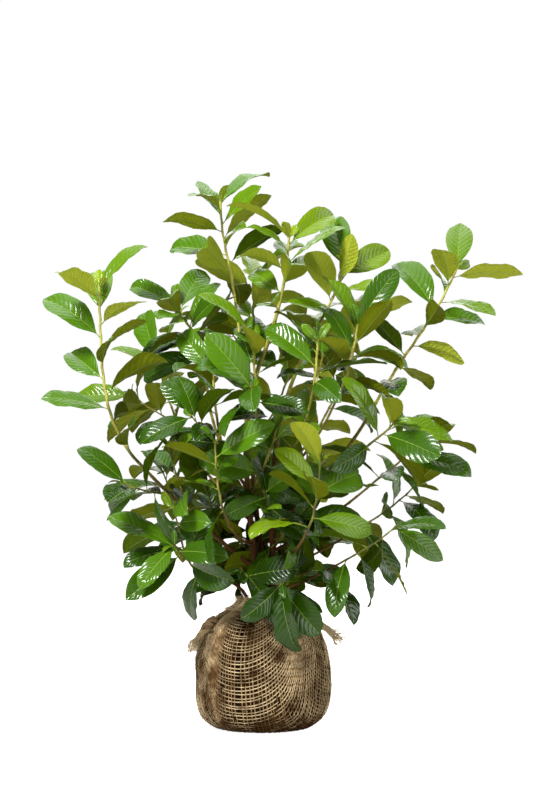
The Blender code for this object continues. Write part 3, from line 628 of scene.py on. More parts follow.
# ---------------------------------------------------------------- stems and boughs
# Living wood of the last three summers. The stems rise out of the neck and fork into boughs.
# Old bark is red-brown and finely cracked, young bark is smooth and green, and every leaf
# that fell has left a swollen ring with a scar.

BALL_TOP_GAP = 0.0003
STEM_FLARE, FLARE_HEIGHT = 0.45, 0.030
LIMB_SIDES, LIMB_RINGS = 18, 120
NODE_PITCH = 0.024  # between leaf scars
NODE_HALF_LENGTH, NODE_SWELL = 0.0032, 0.3  # of its ring, beside the scar
SCAR_RISE, SCAR_DROP = 0.0008, 0.003
SCAR_HALF_LENGTH, SCAR_HALF_ANGLE = 0.0042, 0.62
FORK_SWELL, FORK_REACH = 0.35, 0.007
BARK_SLACKNESS = 0.97  # of the girth, which the rings and wrinkles fill out again
WRINKLES, BROAD_PITCH, FINE_PITCH = 0.022, 0.010, 0.008
OLD_AGE, AGE_SPAN = 1.08, 0.50  # of the bark at the neck, and the height over which it goes
LEAF_TURN = 137.5

Stem = namedtuple("Stem", "name foot tip bow girths")
STEMS = (  # in millimetres, apart from the bow
    Stem("stem_left", (-12, -8), (6, -10, 752), -0.10, (7.0, 4.2)),
    Stem("stem_right", (22, 4), (80, 18, 735), -0.09, (6.6, 3.6)),
    Stem("stem_back", (0, 30), (-28, 130, 690), 0.08, (6.2, 3.4)),
    Stem("stem_low_left", (-28, -18), (-110, -56, 310), -0.10, (3.0, 2.5)),
)
Bough = namedtuple("Bough", "name parent at tip bow girths")
BOUGHS = [
    Bough("bough_" + name, "stem_" + parent, *growth)
    for name, parent, *growth in (
        ("far_left", "left", 0.15, (-244, -45, 530), 0.02, (4.6, 3.2)),
        ("mid_left", "left", 0.36, (-68, -60, 520), 0.08, (3.6, 3.0)),
        ("left_upper", "left", 0.46, (-112, 35, 724), 0.10, (3.4, 2.6)),
        ("top_left", "left", 0.64, (-56, 50, 866), -0.04, (3.2, 2.5)),
        ("front_up", "left", 0.54, (-12, -120, 612), 0.14, (3.1, 2.4)),
        ("front_left", "left", 0.25, (-70, -150, 430), 0.10, (3.2, 2.5)),
        ("right_top", "right", 0.31, (238, 30, 664), 0.05, (4.2, 3.2)),
        ("right_upper", "right", 0.48, (140, -62, 640), 0.06, (3.2, 2.4)),
        ("right_mid_upper", "right", 0.39, (202, -105, 560), 0.05, (3.1, 2.4)),
        ("right_mid", "right", 0.22, (224, -30, 492), 0.03, (3.0, 2.3)),
        ("right_low", "right", 0.13, (186, 50, 388), 0.02, (2.8, 2.1)),
        ("right_lowest", "right", 0.05, (156, -70, 334), 0.02, (2.7, 2.0)),
        ("front_right", "right", 0.58, (92, -118, 640), 0.14, (3.0, 2.3)),
        ("front_bright", "right", 0.17, (86, -160, 398), 0.08, (3.1, 2.4)),
        ("back_left", "back", 0.40, (-150, 160, 560), 0.08, (3.4, 2.5)),
        ("back_right", "back", 0.55, (130, 180, 620), 0.10, (3.2, 2.4)),
        ("back_low", "back", 0.26, (70, 205, 430), 0.08, (3.2, 2.4)),
        ("back_low_left", "back", 0.15, (-130, 140, 372), 0.06, (3.1, 2.4)),
    )
]


def shares_along(points):
    """Each point's distance along a path, as a share of the path's length."""
    reached = [0.0]
    for before, after in zip(points, points[1:]):
        reached.append(reached[-1] + (after - before).length)
    return [distance / reached[-1] for distance in reached]


def point_at(points, share):
    """The point and the direction at a share of a path's length."""
    shares = shares_along(points)
    index = 0
    while index < len(points) - 2 and shares[index + 1] < share:
        index += 1
    step = points[index + 1] - points[index]
    within = (share - shares[index]) / (shares[index + 1] - shares[index])
    return points[index] + step * within, step.normalized()


def taper(girths, points):
    """A radius for each point, which falls evenly along the path from one girth to the other."""
    return [girths[0] + (girths[1] - girths[0]) * share for share in shares_along(points)]


def bark_relief(line, radii, seed):
    """The radius at each point and side of a limb: its taper, a swollen ring at every node,
    the scar of the leaf that stood there, and fine wrinkles where the bark is old."""
    line, radii = np.asarray(line), np.asarray(radii)[:, None]
    along = np.concatenate([[0], np.cumsum(np.linalg.norm(np.diff(line, axis=0), axis=1))])[:, None]
    nodes = np.arange(NODE_PITCH * 0.6, along[-1, 0], NODE_PITCH)
    dice = np.random.default_rng(seed)
    nodes = nodes + dice.uniform(-0.2, 0.2, len(nodes)) * NODE_PITCH
    turn = 2 * np.pi * np.arange(LIMB_SIDES) / LIMB_SIDES
    facing = np.radians(LEAF_TURN) * np.arange(len(nodes)) + dice.uniform(0, 6.28)
    near = bell((along - nodes) / NODE_HALF_LENGTH)
    below = bell((along - nodes + SCAR_DROP) / SCAR_HALF_LENGTH)
    scar = near[:, None] * NODE_SWELL + below[:, None] * bell(wound(turn[:, None] - facing) / SCAR_HALF_ANGLE)
    broad = rumple(line * [1, 1, 0.35], BROAD_PITCH, seed)[:, None]
    fine = rumple(polar_point(turn, BROAD_PITCH, along), FINE_PITCH, seed + 1)
    return radii * BARK_SLACKNESS + SCAR_RISE * scar.sum(-1) + radii * WRINKLES * (broad + fine)


def bark_age(line, youth):
    """How old the bark is, from 1 at the neck to 0 on this summer's wood: it falls with the
    height above the neck, and along a bough."""
    height = np.asarray(line)[:, 2]
    aged = (OLD_AGE - (height - BALL_TOP) / AGE_SPAN).clip(0, 1)
    return aged * (1 - youth * np.linspace(0, 1, len(height)))


def add_ages(piece, ages, sides):
    """Keeps the age of a tube's rings and ends, for its finish to read."""
    values = np.concatenate([np.repeat(ages, sides, axis=1), ages[:, [0, -1]]], 1).astype(np.float32)
    piece.data.attributes.new("age", "FLOAT", "POINT").data.foreach_set("value", values.ravel())


limbs, fine_limbs = {}, {}
for store, stem_steps, steps in ((limbs, 9, 5), (fine_limbs, LIMB_RINGS - 2, LIMB_RINGS - 1)):
    for stem in STEMS:
        foot = Vector((*metres(*stem.foot), BALL_TOP + BALL_TOP_GAP))
        points = path_between(foot, metres(*stem.tip), stem.bow, UP, stem_steps)
        flares = [1 + STEM_FLARE * math.exp((foot.z - point.z) / FLARE_HEIGHT) for point in points]
        store[stem.name] = points, [r * flare / 1000 for r, flare in zip(taper(stem.girths, points), flares)]
    for bough in BOUGHS:
        start, _ = point_at(limbs[bough.parent][0], bough.at)
        points = path_between(start, metres(*bough.tip), bough.bow, steps=steps)
        store[bough.name] = points, [girth / 1000 for girth in taper(bough.girths, points)]
for bough in BOUGHS:
    points, radii = fine_limbs[bough.name]
    length = sum((after - before).length for before, after in zip(points, points[1:]))
    swell = [1 + FORK_SWELL * math.exp(-share * length / FORK_REACH) for share in shares_along(points)]
    fine_limbs[bough.name] = points, [radius * swollen for radius, swollen in zip(radii, swell)]

young_bark, tree, shader = new_finish("laurel_bark")
place = put(tree, "TexCoord", out="Object")
age = put(tree, "Attribute", attribute_name="age", out="Fac")
mottle = put(tree, "TexNoise", place, Scale=70, Detail=5, Roughness=0.65)
worn = maths(tree, "ADD", age, put(tree, "MapRange", mottle, 0.3, 0.7, -0.16, 0.16))
bark_colour = put_ramp(
    tree,
    worn,
    (0.05, (0.38, 0.37, 0.055)),
    (0.28, (0.21, 0.18, 0.030)),
    (0.50, (0.125, 0.080, 0.016)),
    (0.75, (0.115, 0.045, 0.010)),
    (0.97, (0.075, 0.026, 0.006)),
)
cracks = put(tree, "TexNoise", place, Scale=480, Detail=5, Roughness=0.65)
relief = put(tree, "Bump", Height=maths(tree, "MULTIPLY", cracks, age), Strength=0.7, Distance=0.0009)
gloss = put(tree, "MapRange", worn, 0, 1, 0.38, 0.72)
feed(shader, Base_Color=bark_colour, Roughness=gloss, Normal=relief, Specular_IOR_Level=0.2)

for name, members, youth in (
    ("stems_with_bark", [stem.name for stem in STEMS], 0.0),
    ("boughs_with_bark", [bough.name for bough in BOUGHS], 0.38),
):
    lines = [fine_limbs[member][0] for member in members]
    girths = [bark_relief(*fine_limbs[member], index) for index, member in enumerate(members)]
    bark = add_piece(name, [young_bark], *tubes(lines, girths, LIMB_SIDES))
    add_ages(bark, np.array([bark_age(line, youth) for line in lines]), LIMB_SIDES)
    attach(bark, "root")
    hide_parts(*members)


# ---------------------------------------------------------------- this summer's shoots
# The green ends of the plant. Each mass of foliage is one shoot, which grows on from a
# bough's tip or out of a leaf's axil, with side shoots that leave it by the same spiral as
# its leaves. Every shoot ends in a bud.

GAP = 0.0003
TWIG_GIRTHS = (0.0017, 0.0013)
TWIG_BOW = 0.04
AXIL_GIRTH = 0.62  # of a shoot out of a side, beside its bearer's tip
TWIG_START = (0.22, 0.25, 0.08)  # up the shoot: the first, the step to the next, and the play
TWIG_BEARING = (80, 150, 20)
TWIG_LENGTHS = (0.42, 0.55)
TWIG_RISE, TWIG_REACH = 0.75, 0.60
SHOOT_RINGS, SHOOT_SIDES = 60, 10
SHOOT_NODE_PITCH, SHOOT_NODE_RISE, SHOOT_ZIGZAG = 0.019, 0.0005, 0.0007
SHOOT_NODE_HALF_LENGTH = 0.12  # of the pitch
BUD_RINGS, BUD_LENGTH, BUD_GIRTH, BUD_TIP = 6, 0.011, 0.0024, 0.0001
SHOOT_PLUMPNESS = (1.10, 1.70)  # of a living shoot beside its stand-in, low down and at the top
STRONG_HEIGHTS = (0.45, 0.80)  # between which the shoots grow stouter, and are lighter and greener higher up
LOW_SHOOT_DARKENING = 0.34  # how much darker and browner the low ones are
SPRIGS, SPRIG_LEAVES = 12, 6  # out of old wood, behind the stems
SPRIG_START, SPRIG_STEP = 0.02, 0.030  # shares of the way up their stems
SPRIG_BEARINGS = (10, 160)  # where their arc starts, and how far it goes round
SPRIG_SPAN, SPRIG_RISE = 0.085, 0.050
GOLDEN_SHARE = 0.618
FRONT_SPRIGS, FRONT_START, FRONT_STEP = 3, 0.24, 0.12  # before the right stem
FRONT_BEARINGS = (-65, -35)  # of the first one, and the step to the next

Mass = namedtuple("Mass", "name carrier at tip leaves phase twigs spread hang", defaults=(0, 1.0, 0.0))
MASSES = [
    Mass("leaves_" + name, carrier, at, metres(*tip), *habit)
    for name, carrier, at, tip, *habit in (  # tips in millimetres
        ("far_left", "bough_far_left", 1, (-322, -50, 874), 12, 10, 0, 0.84),
        ("left_side", "bough_far_left", 0.72, (-274, -95, 492), 7, 205, 0, 1.0, 0.1),
        ("left_upright", "bough_far_left", 0.52, (-182, -85, 560), 7, 200, 0, 0.9),
        ("left_inner", "bough_far_left", 0.28, (-112, 30, 500), 7, 300),
        ("low_left", "stem_low_left", 1, (-172, -80, 436), 9, 190, 1, 1.1, 0.2),
        ("mid_left", "bough_mid_left", 1, (-96, -85, 708), 10, 160, 1),
        ("left_upper", "bough_left_upper", 1, (-170, 35, 846), 9, 175, 1),
        ("top_left", "bough_top_left", 1, (-84, 55, 1050), 11, 20, 0, 0.85),
        ("top_centre", "stem_left", 1, (54, -14, 976), 14, 167),
        ("front_up", "bough_front_up", 1, (-16, -150, 760), 9, 200, 1, 0.95),
        ("front_left", "bough_front_left", 1, (-90, -175, 570), 9, 250),
        ("top_right", "stem_right", 1, (164, 28, 916), 12, 150, 0, 0.95),
        ("right_top", "bough_right_top", 1, (392, 40, 916), 13, 138),
        ("right_upper", "bough_right_upper", 1, (188, -70, 796), 11, 350, 0, 0.9),
        ("right_mid_upper", "bough_right_mid_upper", 1, (254, -125, 606), 7, 0),
        ("right_mid", "bough_right_mid", 1, (310, -30, 566), 8, 20, 0, 1.0, 0.1),
        ("right_low", "bough_right_low", 1, (310, 60, 480), 9, 330, 0, 1.0, 0.25),
        ("right_lowest", "bough_right_lowest", 1, (260, -90, 404), 7, 0, 0, 1.1, 0.4),
        ("front_right", "bough_front_right", 1, (108, -150, 766), 9, 20, 1, 0.95),
        ("front_bright", "bough_front_bright", 1, (112, -190, 530), 9, 240),
        ("centre", "stem_left", 0.42, (30, -110, 600), 9, 300),
        ("centre_right", "stem_right", 0.26, (134, -110, 490), 8, 330),
        ("back_top", "stem_back", 1, (-16, 165, 900), 11, 90, 1),
        ("back_left", "bough_back_left", 1, (-220, 205, 744), 9, 110, 1),
        ("back_right", "bough_back_right", 1, (196, 225, 796), 9, 40, 1),
        ("back_low", "bough_back_low", 1, (100, 285, 580), 9, 60, 1, 1.1, 0.1),
        ("back_low_left", "bough_back_low_left", 1, (-206, 200, 500), 9, 120, 0, 1.1, 0.1),
        ("inner_low", "stem_left", 0.27, (6, -130, 440), 8, 200, 0, 1.0, 0.1),
        ("inner_mid", "stem_back", 0.70, (60, 110, 720), 7, 20),
        ("foot_left", "stem_left", 0.11, (-40, -95, 322), 7, 250, 0, 1.1, 0.35),
        ("foot_front", "stem_right", 0.10, (40, -168, 304), 8, 275, 0, 1.0, 0.55),
        ("foot_right", "stem_right", 0.11, (110, -70, 322), 7, 320, 0, 1.0, 0.35),
    )
]


def mass_stem(mass):
    """The path and radii of a mass's own shoot, which grows on from a tip or out of a side."""
    points, radii = limbs[mass.carrier]
    start, direction = point_at(points, mass.at)
    if mass.at == 1:
        path = path_between(start + direction * GAP, mass.tip, TWIG_BOW, direction, 4)
        return path, taper((radii[-1], TWIG_GIRTHS[1]), path)
    path = path_between(start, mass.tip, TWIG_BOW)
    return path, taper((radii[-1] * AXIL_GIRTH, TWIG_GIRTHS[1]), path)


def out_of(direction, bearing):
    """The direction that leaves a stem squarely, at a bearing round it."""
    return UP.rotation_difference(direction) @ Vector((math.cos(bearing), math.sin(bearing), 0))


def side_twigs(mass, path, rng):
    """The mass's side shoots: each leaves its shoot in a leaf's axil and curves up."""
    twigs = []
    length = (path[-1] - path[0]).length
    for index in range(mass.twigs):
        share = TWIG_START[0] + TWIG_START[1] * index + rng.uniform(0, TWIG_START[2])
        point, direction = point_at(path, share)
        turn = mass.phase + TWIG_BEARING[0] + TWIG_BEARING[1] * index
        bearing = math.radians(turn + rng.uniform(-TWIG_BEARING[2], TWIG_BEARING[2]))
        way = (direction * TWIG_RISE + out_of(direction, bearing) * TWIG_REACH).normalized()
        tip = point + way * length * rng.uniform(*TWIG_LENGTHS)
        twigs.append(path_between(point, tip, TWIG_BOW, steps=4))
    return twigs


def resampled(path, count):
    """A path's points again, evenly spaced, as an array: its corners are rounded by a smooth
    curve through them."""
    points, reach, share = np.array(path), np.array(shares_along(path)), np.linspace(0, 1, count)
    index = np.searchsorted(reach, share, side="right").clip(1, len(points) - 1)
    span = (reach[index] - reach[index - 1])[:, None]
    slope = np.gradient(points, reach, axis=0)
    t = (share - reach[index - 1])[:, None] / span
    left = (2 * t**3 - 3 * t**2 + 1) * points[index - 1] + (t**3 - 2 * t**2 + t) * span * slope[index - 1]
    return left + (3 * t**2 - 2 * t**3) * points[index] + (t**3 - t**2) * span * slope[index]


def shoot_shape(path, girths, seed):
    """A shoot's line and radii: it turns a little at each leaf, swells there, and ends in a
    pointed bud."""
    line = resampled(path, SHOOT_RINGS - BUD_RINGS)
    length = np.linalg.norm(np.diff(line, axis=0), axis=1).sum()
    share = np.linspace(0, 1, len(line))
    nodes = share * length / SHOOT_NODE_PITCH + np.random.default_rng(seed).uniform()
    sway = np.sin(nodes * np.pi) * np.minimum(share * 8, 1) * np.minimum((1 - share) * 8, 1)
    line += SHOOT_ZIGZAG * sway[:, None] * [np.cos(seed), np.sin(seed), 0]
    radius = np.interp(share, [0, 1], girths)
    radius = radius + SHOOT_NODE_RISE * bell((nodes % 1 - 0.5) / SHOOT_NODE_HALF_LENGTH)
    bud = np.linspace(0.12, 1, BUD_RINGS)
    bud_line = line[-1] + unit(line[-1] - line[-3]) * (bud * BUD_LENGTH)[:, None]
    bud_radius = BUD_GIRTH * np.sin(np.pi * (0.30 + 0.68 * bud)) ** 0.9 + BUD_TIP
    return np.concatenate([line, bud_line]), np.concatenate([radius, bud_radius])


places = []
for number in range(SPRIGS):
    bearing = SPRIG_BEARINGS[0] + SPRIG_BEARINGS[1] * (number * GOLDEN_SHARE % 1)
    places.append((STEMS[number % 3].name, SPRIG_START + SPRIG_STEP * number, bearing))
for number in range(FRONT_SPRIGS):
    bearing = FRONT_BEARINGS[0] + FRONT_BEARINGS[1] * number
    places.append(("stem_right", FRONT_START + FRONT_STEP * number, bearing))
sprigs = []
for number, (carrier, at, bearing) in enumerate(places):
    start, _ = point_at(limbs[carrier][0], at)
    bearing = math.radians(bearing)
    tip = start + Vector((math.cos(bearing) * SPRIG_SPAN, math.sin(bearing) * SPRIG_SPAN, SPRIG_RISE))
    sprigs.append(Mass(f"sprig_{number}", carrier, at, tip, SPRIG_LEAVES, LEAF_TURN * number, hang=0.1))

shoots = {}
for mass in (*MASSES, *sprigs):
    rng = random.Random(mass.name)
    path, radii = mass_stem(mass)
    shoots[mass.name] = path, radii, side_twigs(mass, path, rng), rng

green_shoot, tree, shader = new_finish("green_shoot")
place = put(tree, "TexCoord", out="Object")
blush = put(tree, "TexNoise", place, Scale=34, Detail=3)
age = put(tree, "Attribute", attribute_name="age", out="Fac")
shoot_colour = put_ramp(
    tree,
    maths(tree, "ADD", blush, maths(tree, "MULTIPLY", age, LOW_SHOOT_DARKENING)),
    (0.35, (0.27, 0.30, 0.030)),
    (0.50, (0.44, 0.42, 0.075)),
    (0.64, (0.28, 0.23, 0.040)),
    (0.80, (0.125, 0.130, 0.020)),
    (0.96, (0.095, 0.070, 0.015)),
)
pores = put(tree, "TexNoise", place, Scale=600, Detail=3)
relief = put(tree, "Bump", Height=pores, Strength=0.3, Distance=0.0005)
feed(shader, Base_Color=shoot_colour, Normal=relief, Roughness=0.42, Specular_IOR_Level=0.25)

shapes = []
for number, (path, radii, twigs, _) in enumerate(shoots.values()):
    plump = np.interp(path[-1].z, STRONG_HEIGHTS, SHOOT_PLUMPNESS)
    shapes.append(shoot_shape(path, (radii[0], radii[-1] * plump), number))
    shapes += [shoot_shape(twig, TWIG_GIRTHS, number + 100) for twig in twigs]
lines, girths = (np.array(told) for told in zip(*shapes))
green_shoots = add_piece("green_shoots", [green_shoot], *tubes(lines, girths, SHOOT_SIDES))
# Their 'age' here is only how low they grow: the lower, the darker and browner.
add_ages(green_shoots, 1 - np.interp(lines[..., 2], STRONG_HEIGHTS, (0, 1)), SHOOT_SIDES)
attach(green_shoots, "root")


# ---------------------------------------------------------------- the leaves
# Thick evergreen blades of finger's length and more, in a spiral up each shoot. Above they
# are waxed, dark and puckered between their veins, below they are matt and olive; their
# lighter yellow-green to lime is partly their own colour and partly painted light that shines
# through the blade, more of it higher up.
# A pale stalk runs on as the midrib, the blade folds along it, and its edge rolls under.

LEAF_LENGTH, LEAF_WIDTH = 0.134, 0.056
LEAF_LEANS, LEAN_CURVE = (80, 36), 1.5
LEAF_CROWDING = 0.8
LEAF_SIZES = (0.84, 1.14)
LEAF_BENDS, LEAF_ROLL = (15, 60), (15, 55)
BEARING_JITTER, LEAN_JITTER = 20, 14
LEAF_TRIES = ((0, 0), (18, 0), (-18, 0), (0, -14), (0, 14), (36, 0), (-36, 0), (30, -16), (-30, -16))
LIGHT = Vector((-0.15, -0.35, 0.92))
TURN_TO_STEM, TURN_TO_LIGHT, TURN_OUTWARDS = 0.35, 0.55, 0.25
STEM_BARE, TWIG_BARE = 0.10, 0.35
TWIG_LEAVES, TWIG_TURN = 5, 60
LEAF_MATCH = 0.0002
TIP_LEAVES, TIP_LEANS = 3, (12, 42)
TIP_LENGTHS, TWIG_TIP_LENGTHS = (0.030, 0.055), (0.022, 0.036)
TIP_SHARE = 1.6  # counts them as younger than any full-grown leaf
SPRIG_SIZE = 0.82
BARE_PLACES = (  # where leaves were shed in front of the stems and the neck: across, up and depth
    (-0.050, -0.020, 0.320, 0.430, -0.015),
    (0.022, 0.050, 0.345, 0.400, -0.015),
    (-0.046, -0.022, 0.430, 0.490, -0.015),
    (-0.110, -0.030, 0.180, 0.252, -0.020),
    (0.010, 0.030, 0.180, 0.252, -0.020),
    (0.105, 0.150, 0.180, 0.250, -0.020),
)
BLADE_SPOTS = (0.45, 0.65, 0.85)  # along a leaf, that mustn't hang there
BLADE_ROWS = 16  # along the blade, which puckers up and down by turns
STALK_SHARE = 0.09
STALK_GIRTHS, STALK_FLATNESS = (0.0013, 0.0010), 0.9
UPPER_PLACES = (-1, -0.7, -0.36, 0, 0, 0.36, 0.7, 1)
LOWER_PLACES = (0.7, 0.36, 0, 0, -0.36, -0.7)
RING = len(UPPER_PLACES + LOWER_PLACES)
STALK_PLACES = np.array([-1, -0.8, -0.45, -0.15, 0.15, 0.45, 0.8, 1, 0.75, 0.45, 0.15, -0.15, -0.45, -0.75])
RIB_SIDES = np.array([0, 0, 0, -1, 1, 0, 0, 0, 0, 0, 1, -1, 0, 0])
FACE_KINDS = np.array([0, 0, 0, 2, 0, 0, 0, 1, 1, 1, 2, 1, 1, 1])  # upper side, lower side or rib
RIB_WIDTHS = (0.0006, 0.00015)  # from the middle to the side, at the blade's base and its tip
LOWER_RIB_GIRTH = 1.8  # the rib stands out below, and is this much wider there
RIB_DEPTH, RIB_GROOVE = 0.0010, 0.0002
BLADE_THICKNESS = 0.00035
MARGIN_ROLL = 0.16
PUCKER = 0.0010
VEIN_LEAD = 0.055  # how far forward the blade's rows run out to the edge
FOLD_ANGLES, TWIST_ANGLE = (8, 30), 14
CURL_ANGLES, CURL_START = (-15, 55), 0.72  # of the tip
EDGE_WAVES, EDGE_RIPPLES = (0.02, 0.13), (1.3, 2.8)
SWELLS = (0.2, 1.5)
STOUTNESSES, POINTEDNESS = (0.84, 1.06), (0.10, 0.52)
SHADE_BREADTH = 0.13  # of the leaves at the foot, which are blunt too
CREASE_ANGLE = 70  # over which an edge shows sharp
VEINS, VEIN_RISE, VEIN_CURVE = 11.0, 0.11, 0.05  # on each side, and how they lean to the tip
VEIN_SHARPNESS = 3.0
PARTING = 0.02  # between the two pieces that hold the leaves

Leaf = namedtuple("Leaf", "root along up length bend share mass")


def blade_tip(leaf):
    """The far end of a blade, which arcs away from its upper side."""
    forward = math.sin(leaf.bend) / leaf.bend
    dropped = (1 - math.cos(leaf.bend)) / leaf.bend
    return leaf.root + (leaf.along * forward - leaf.up * dropped) * leaf.length


def leaf_on(mass, point, stem_direction, bearing, lean, length, share, rng):
    """A leaf that leaves its stem at a bearing, hangs, turns to the light and arches."""
    along = stem_direction * math.cos(lean) + out_of(stem_direction, bearing) * math.sin(lean)
    along = along.normalized()
    along = (along * (1 - mass.hang) - UP * mass.hang).normalized()
    clear_side = Vector((point.x, point.y, 0)).normalized()
    light = stem_direction * TURN_TO_STEM + LIGHT * TURN_TO_LIGHT + clear_side * TURN_OUTWARDS
    across = along.cross(light).normalized()
    up = across.cross(along).normalized()
    roll = math.radians(rng.choice((-1, 1)) * rng.uniform(*LEAF_ROLL))
    up = up * math.cos(roll) + across * math.sin(roll)
    bend = math.radians(rng.uniform(*LEAF_BENDS))
    return Leaf(point, along, up, length, bend, share, mass.name)


def stem_leaves(mass, tips, points, count, phase, low_share, rng):
    """Leaves in a spiral up a stem: lower ones spread and hang, upper ones stand up. A leaf
    takes the first of its turnings that found room among its neighbours, where its tip is a
    corner of the mass's solid, and is left out where none did. A sprig's has room anyway."""
    leaves = []
    for index in range(count):
        share = low_share + (1 - low_share) * (index / (count - 1)) ** LEAF_CROWDING
        point, direction = point_at(points, share)
        turn = phase - LEAF_TURN * (count - 1 - index)
        bearing = math.radians(turn + rng.uniform(-BEARING_JITTER, BEARING_JITTER))
        stance = LEAF_LEANS[0] + (LEAF_LEANS[1] - LEAF_LEANS[0]) * share**LEAN_CURVE
        lean = math.radians(stance * mass.spread + rng.uniform(-LEAN_JITTER, LEAN_JITTER))
        length = LEAF_LENGTH * rng.uniform(*LEAF_SIZES)
        state = rng.getstate()
        for turn, tilt in LEAF_TRIES:
            rng.setstate(state)
            turned, tilted = bearing + math.radians(turn), lean + math.radians(tilt)
            leaf = leaf_on(mass, point, direction, turned, tilted, length, share, rng)
            if tips is None or tips.find(blade_tip(leaf))[2] < LEAF_MATCH:
                leaves.append(leaf)
                break
    return leaves


def tip_leaves(mass, path, lengths, rng):
    """The youngest leaves of a shoot, still small and upright round its bud."""
    direction = (path[-1] - path[-2]).normalized()
    start = mass.phase + rng.uniform(0, 360)
    for number in range(TIP_LEAVES):
        bearing = math.radians(start + LEAF_TURN * number)
        lean = math.radians(rng.uniform(*TIP_LEANS))
        yield leaf_on(mass, path[-1], direction, bearing, lean, rng.uniform(*lengths), TIP_SHARE, rng)


def hides_stem(leaf):
    """Whether a leaf hangs where the ones in front of the stems and the neck have been shed."""
    return any(
        left < spot.x < right and low < spot.z < high and spot.y < front
        for spot in (leaf.root + leaf.along * leaf.length * share for share in BLADE_SPOTS)
        for left, right, low, high, front in BARE_PLACES
    )


def blade_outline(share, point):
    """Half the blade's width, as a share of its widest, at a share of the way from its base
    to its tip: a sine wave, raised to a power that draws its base to a wedge and its end to a
    point, each leaf's in its own measure."""
    power = 0.52 + 0.45 * (1 - share) ** 4 + point * share**6
    return np.sin(np.pi * share).clip(0) ** power


def leaf_blades(leaves, dice):
    """Rings of points along every leaf at once, and one point at each tip: eight across the
    upper side and six under it. The middle line arcs and its tip curls. Each ring is folded
    along the midrib, rolled under at its edge, waved, and puckered up or down in turn with
    the next, and it runs forward from the midrib to the edge as the veins do."""
    count = len(leaves)
    root, along, up, length, bend = (
        np.array([getattr(leaf, part) for leaf in leaves])[:, None] for part in Leaf._fields[:5]
    )

    def each(limits, *wide):
        return dice.uniform(*limits, (count, *wide))

    fold = np.tan(np.radians(each(FOLD_ANGLES, 1, 1)))
    curl = np.radians(each(CURL_ANGLES, 1))
    twist = np.radians(dice.normal(0, TWIST_ANGLE, (count, 1)))
    wave, phase, ripples = each(EDGE_WAVES, 1, 1), each((0, 2 * np.pi), 1, 1), each(EDGE_RIPPLES, 1, 1)
    swell, stout, point = each(SWELLS, BLADE_ROWS + 2, 1), each(STOUTNESSES, 1), each(POINTEDNESS, 1)
    shaded = np.array([["foot" in leaf.mass] for leaf in leaves])  # so they grew broad and blunt
    stout, point = stout + SHADE_BREADTH * shaded, np.where(shaded, POINTEDNESS[0], point)
    blade = np.arange(BLADE_ROWS + 1) / BLADE_ROWS
    blade = 0.55 * blade + 0.45 * (1 - np.cos(np.pi * blade)) / 2  # closer rows at both ends
    share = np.concatenate([[0, STALK_SHARE / 2], STALK_SHARE + (1 - STALK_SHARE) * blade])
    turned = bend * share + curl * ((share - CURL_START) / (1 - CURL_START)).clip(0) ** 2
    middle = (turned[:, 1:] + turned[:, :-1]) / 2
    step = np.diff(share) * length
    forward, dropped = (np.cumsum(way(middle) * step, 1)[..., None] for way in (np.cos, np.sin))
    centre = np.concatenate([root, root + along * forward - up * dropped], 1)
    turned, turn = turned[..., None], (twist * share)[..., None]
    ahead = along * np.cos(turned) - up * np.sin(turned)
    above = up * np.cos(turned) + along * np.sin(turned)
    across = np.cross(along, up)
    across, above = across * np.cos(turn) + above * np.sin(turn), above * np.cos(turn) - across * np.sin(turn)

    rows = share[:-1]
    way = ((rows - STALK_SHARE) / (1 - STALK_SHARE)).clip(0)[:, None]
    half = (LEAF_WIDTH / LEAF_LENGTH / 2 * length * stout * blade_outline(way[:, 0], point))[..., None]
    rib = np.minimum(RIB_WIDTHS[0] + (RIB_WIDTHS[1] - RIB_WIDTHS[0]) * way, half * 0.3)
    places = np.array(UPPER_PLACES + LOWER_PLACES, float)
    below = np.arange(RING) >= len(UPPER_PLACES)
    x = half * places + rib * RIB_SIDES * np.where(below, LOWER_RIB_GIRTH, 1)
    off = np.abs(places)
    puckered = PUCKER * 4 * off * (1 - off * 0.85) * np.where(np.arange(len(rows)) % 2 == 0, 1, -1)[:, None]
    full = np.minimum(1, 6 * way * (1 - way)) * np.minimum(length[..., None] / LEAF_LENGTH, 1)
    z = fold * np.abs(x) - MARGIN_ROLL * half * off**4 + swell * puckered * full
    z = z + wave * half * off**2 * np.sin(2 * np.pi * ripples * way + phase + 0.9 * np.sign(places))
    z = z - np.where(below, BLADE_THICKNESS, 0)
    z = z - np.where(RIB_SIDES != 0, np.where(below, RIB_DEPTH * (1 - 0.8 * way), RIB_GROOVE), 0)
    stalk = way <= 0
    girth = np.linspace(*STALK_GIRTHS, 3)[np.arange(len(rows)).clip(0, 2)][:, None]
    bulge = np.sqrt(1 - STALK_PLACES**2) * np.where(below, -1, 1)
    x = np.where(stalk, STALK_PLACES * girth, x)[..., None]
    z = np.where(stalk, bulge * girth * STALK_FLATNESS, z)[..., None]
    lead = (np.where(stalk, 0, VEIN_LEAD * off * np.sin(np.pi * way)) * length[..., None])[..., None]
    centres, across, above, ahead = (axis[:, :-1, None] for axis in (centre, across, above, ahead))
    rings = centres + across * x + above * z + ahead * lead
    points = np.concatenate([rings.reshape(count, -1, 3), centre[:, -1:]], 1)
    spread = 0.5 + 0.5 * np.where(stalk, STALK_PLACES * 0.1, places)
    where = np.stack(np.broadcast_arrays(spread, rows[:, None]), -1).reshape(-1, 2)
    return points, np.concatenate([where, [[0.5, 1.0]]])


